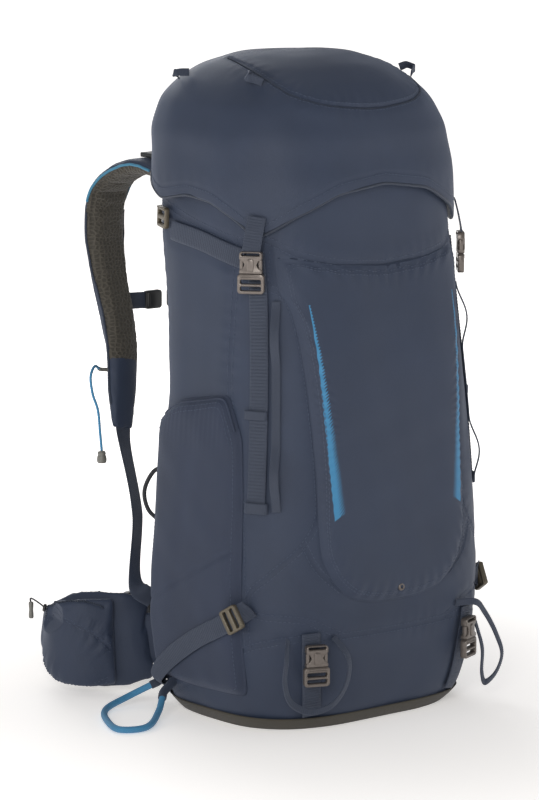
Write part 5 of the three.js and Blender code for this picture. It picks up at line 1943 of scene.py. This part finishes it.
# %% Run a tree along lines
PACK_STITCH = {"pitch": 0.0045, "bead_width": 0.00084, "bead_length": 0.0034}
BELT_STITCH = {"pitch": 0.0042, "bead_width": 0.0008, "bead_length": 0.0032}
LID_TOOTH = {"pitch": 0.0021, "bead_width": 0.0024, "bead_length": 0.0015, "finish": NAVY_DARK}
BELT_TOOTH = {"pitch": 0.0021, "bead_width": 0.0026, "bead_length": 0.0015, "finish": NAVY_DARK}
BEAD_FACES = 24


def row_piece(name, lines, body, sizes):
    """Polylines in millimetres become the input mesh, and the tree's result a plain mesh."""
    mesh = bpy.data.meshes.new(name)
    points = np.concatenate(lines) * MM
    edges, start = [], 0
    for line in lines:
        edges += [(start + i, start + i + 1) for i in range(len(line) - 1)]
        start += len(line)
    mesh.from_pydata(points.tolist(), edges, [])
    obj = new_object(name, mesh)
    modifier = obj.modifiers.new("rows", "NODES")
    modifier.node_group = BEAD_TREE
    for socket in BEAD_TREE.interface.items_tree:
        key = socket.name.replace(" ", "_").lower()
        if socket.in_out == "INPUT" and key in sizes:
            modifier[socket.identifier] = sizes[key]
    made = bpy.data.meshes.new_from_object(obj.evaluated_get(bpy.context.evaluated_depsgraph_get()))
    obj.modifiers.remove(modifier)
    obj.data = made
    bpy.data.meshes.remove(mesh)
    return finish_piece(obj, body, "navy_webbing")


print("a stitch is", round(1000 * PACK_STITCH["bead_length"], 1), "mm long")

# %% Lines beside a seam
def beside(line, gap):
    """A line on the body moved sideways across the cloth."""
    return line + np.cross(directions(line), outward(BODY, line)) * gap


def inset_outline(points, face, inset, off, keep=None):
    edge = closed_outline(points, 2.5)
    middle = edge.mean(0)
    reach = np.linalg.norm(edge - middle, axis=1, keepdims=True)
    flat = middle + (edge - middle) * (1 - inset / reach)
    line = face_point(face, flat[:, 0], flat[:, 1], off)
    if keep is not None:
        line = line[keep(flat[:, 0], flat[:, 1])]
    return np.concatenate([line, line[:1]]) if keep is None else line


def split_jumps(line, most=14.0):
    cuts = np.where(np.linalg.norm(np.diff(line, axis=0), axis=1) > most)[0] + 1
    return [part for part in np.split(line, cuts) if len(part) > 3]


print("the pocket's outline is", len(inset_outline(POCKET_OUTLINE, "front", 4.4, 8.5)), "points")

# %% Stitches on the pack
STITCH_GAP = 3.2
body_rows = []
for line in BODY_SEAM_LINES:
    keep = (line[:, 2] > 16) & (line[:, 2] < 556)
    for gap in (-STITCH_GAP, STITCH_GAP):
        for part in split_jumps(beside(line[keep], gap)):
            body_rows.append(snap_to(bag_body, part, 0.1, 2.5)[0])
pocket_rows = []
for part in (
    inset_outline(POCKET_OUTLINE, "front", 4.4, 8.5), inset_outline(POCKET_OUTLINE, "front", 9.0, 9.0)
):
    pocket_rows.append(snap_to(front_pocket, part, 0.1, 2.5)[0])
side_rows = []
for side in SIDES:
    obj = bpy.data.objects["stretch_pocket_" + side]
    for inset in (5.0, 12.0):
        test = (lambda u, v: v > 296) if inset > 8 else (lambda u, v: v > 40)
        for part in split_jumps(inset_outline(SIDE_OUTLINE, side, inset, 10.2, test)):
            side_rows.append(snap_to(obj, part, 0.1, 2.5)[0])
rows = body_rows + pocket_rows + side_rows
stitches = row_piece("pack_stitches", rows, "pack", PACK_STITCH)
print("stitches on the pack:", len(stitches.data.polygons) // BEAD_FACES)

# %% Lid stitches and zip
LID_MIDDLE = (0, 58, 560.0)


def round_rim(heights, off):
    """A line of one point in each column of the lid, at the given heights."""
    runs = np.interp(heights, LID[1][:, 0], LID[0])
    return np.array([lid_points(run, angle, off) for run, angle in zip(runs, lid_angles)])


rim_line = round_rim(rim + 9.0, 0.0)
lid_rows = [snap_to(lid_shell, np.concatenate([rim_line, rim_line[:1]]), 0.1, 2.5)[0]]
out = LID_ZIP_LINE - LID_MIDDLE
across = np.cross(directions(LID_ZIP_LINE), unit(out))
for gap in (-3.4, 3.4):
    lid_rows.append(snap_to(lid_shell, LID_ZIP_LINE + across * gap, 0.1, 2.5)[0])
lid_stitches = row_piece("lid_stitches", lid_rows, "lid", PACK_STITCH)
zip_line = snap_to(lid_shell, LID_ZIP_LINE + (0, 0, -1.5), -0.1, 2.0)[0]
lid_zip = row_piece("lid_zip_teeth", [zip_line], "lid", LID_TOOTH)
print("stitches on the lid:", len(lid_stitches.data.polygons) // BEAD_FACES)
print("zip teeth on the lid:", len(lid_zip.data.polygons) // BEAD_FACES)

# %% Belt stitches and zips
for side, sign in SIDES.items():
    pouch = bpy.data.objects["belt_pouch_" + side]
    lines = [np.array(mirrored(line, -sign)) for line in (BELT_ZIP, BELT_FLAP, BELT_LOWER)]
    rows = []
    for line in lines[1:]:
        for gap in (-3.0, 3.0):
            rows.append(snap_to(pouch, smooth_path(line, 3) + (0, 0, gap), 0.1, 2.0)[0])
    row_piece("belt_stitches_" + side, rows, "hip_belt_" + side, BELT_STITCH)
    teeth = snap_to(pouch, smooth_path(lines[0], 3), 0.2, 2.0)[0]
    belt_zip = row_piece("belt_zip_teeth_" + side, [teeth], "hip_belt_" + side, BELT_TOOTH)
print("zip teeth on each pouch:", len(belt_zip.data.polygons) // BEAD_FACES)

# %% [markdown]
# ## Edges and small parts
# The lid's edge is bound with tape, the stretch pockets have a bound mouth, the mouth of the bag has
# a binding, and a small eyelet drains the front pocket. Each is a tube or a turned ring. The lid's
# binding is made in the dark lining cloth: its dark colour is painted shadow for the gap under the lid's
# edge.

# %% Bindings
def bind(name, line, radius, body, material=NAVY_WEBBING, slot="navy_webbing", close=True):
    line = np.concatenate([line, line[:1]]) if close else line
    return finish_piece(tube(name, line, radius, material, 10), body, slot)


# Painted shadow: the lid's binding is dark lining cloth, set in under the edge to stand for the shade in the
# gap beneath it.
bind("lid_edge_binding", round_rim(rim - 0.4, -1.3), 1.7, "lid", NAVY_DARK)
mouth_line = body_rings([MOUTH - 0.6], -2.0)[0]
bind("mouth_binding", mouth_line[::2], 2.6, "pack")
for side in SIDES:
    mouth = inset_outline(SIDE_OUTLINE, side, 3.2, 4.0, lambda u, v: (v > 306) & (u < 94))
    for part in split_jumps(mouth):
        line = snap_to(bpy.data.objects["stretch_pocket_" + side], part, 0.3, 2.0)[0]
        bind("pocket_hem_" + side, line, 1.3, "pack", STRETCH, "navy_fabric", close=False)

# %% Drain eyelet
EYELET_PROFILE = [(2.0, -0.6), (2.0, 0.9), (2.5, 1.35), (3.3, 1.2), (4.1, 0.4), (4.2, -0.5)]
EYELET_SIDES = 24
seat = snap_to(front_pocket, [(0, -116, EYELET_HEIGHT), (0.5, -116, EYELET_HEIGHT)], 0.0)[0][0]
turn = np.linspace(0, 2 * np.pi, EYELET_SIDES, endpoint=False)
profile = smooth_path([(r, 0, z) for r, z in EYELET_PROFILE], 0.3)
x, z = np.cos(turn)[None] * profile[:, :1], np.sin(turn)[None] * profile[:, :1]
points = (np.stack([x, np.broadcast_to(-profile[:, 2:], x.shape), z], -1) + seat).reshape(-1, 3)
faces = ring_faces(len(profile) + 1, EYELET_SIDES) % len(points)
eyelet = mesh_object("drain_eyelet", points, faces, [PEWTER], points[:, (0, 2)] * MM)
finish_piece(fix_outward(eyelet), "pack", "buckle_plastic")
print("eyelet:", len(eyelet.data.polygons), "faces")
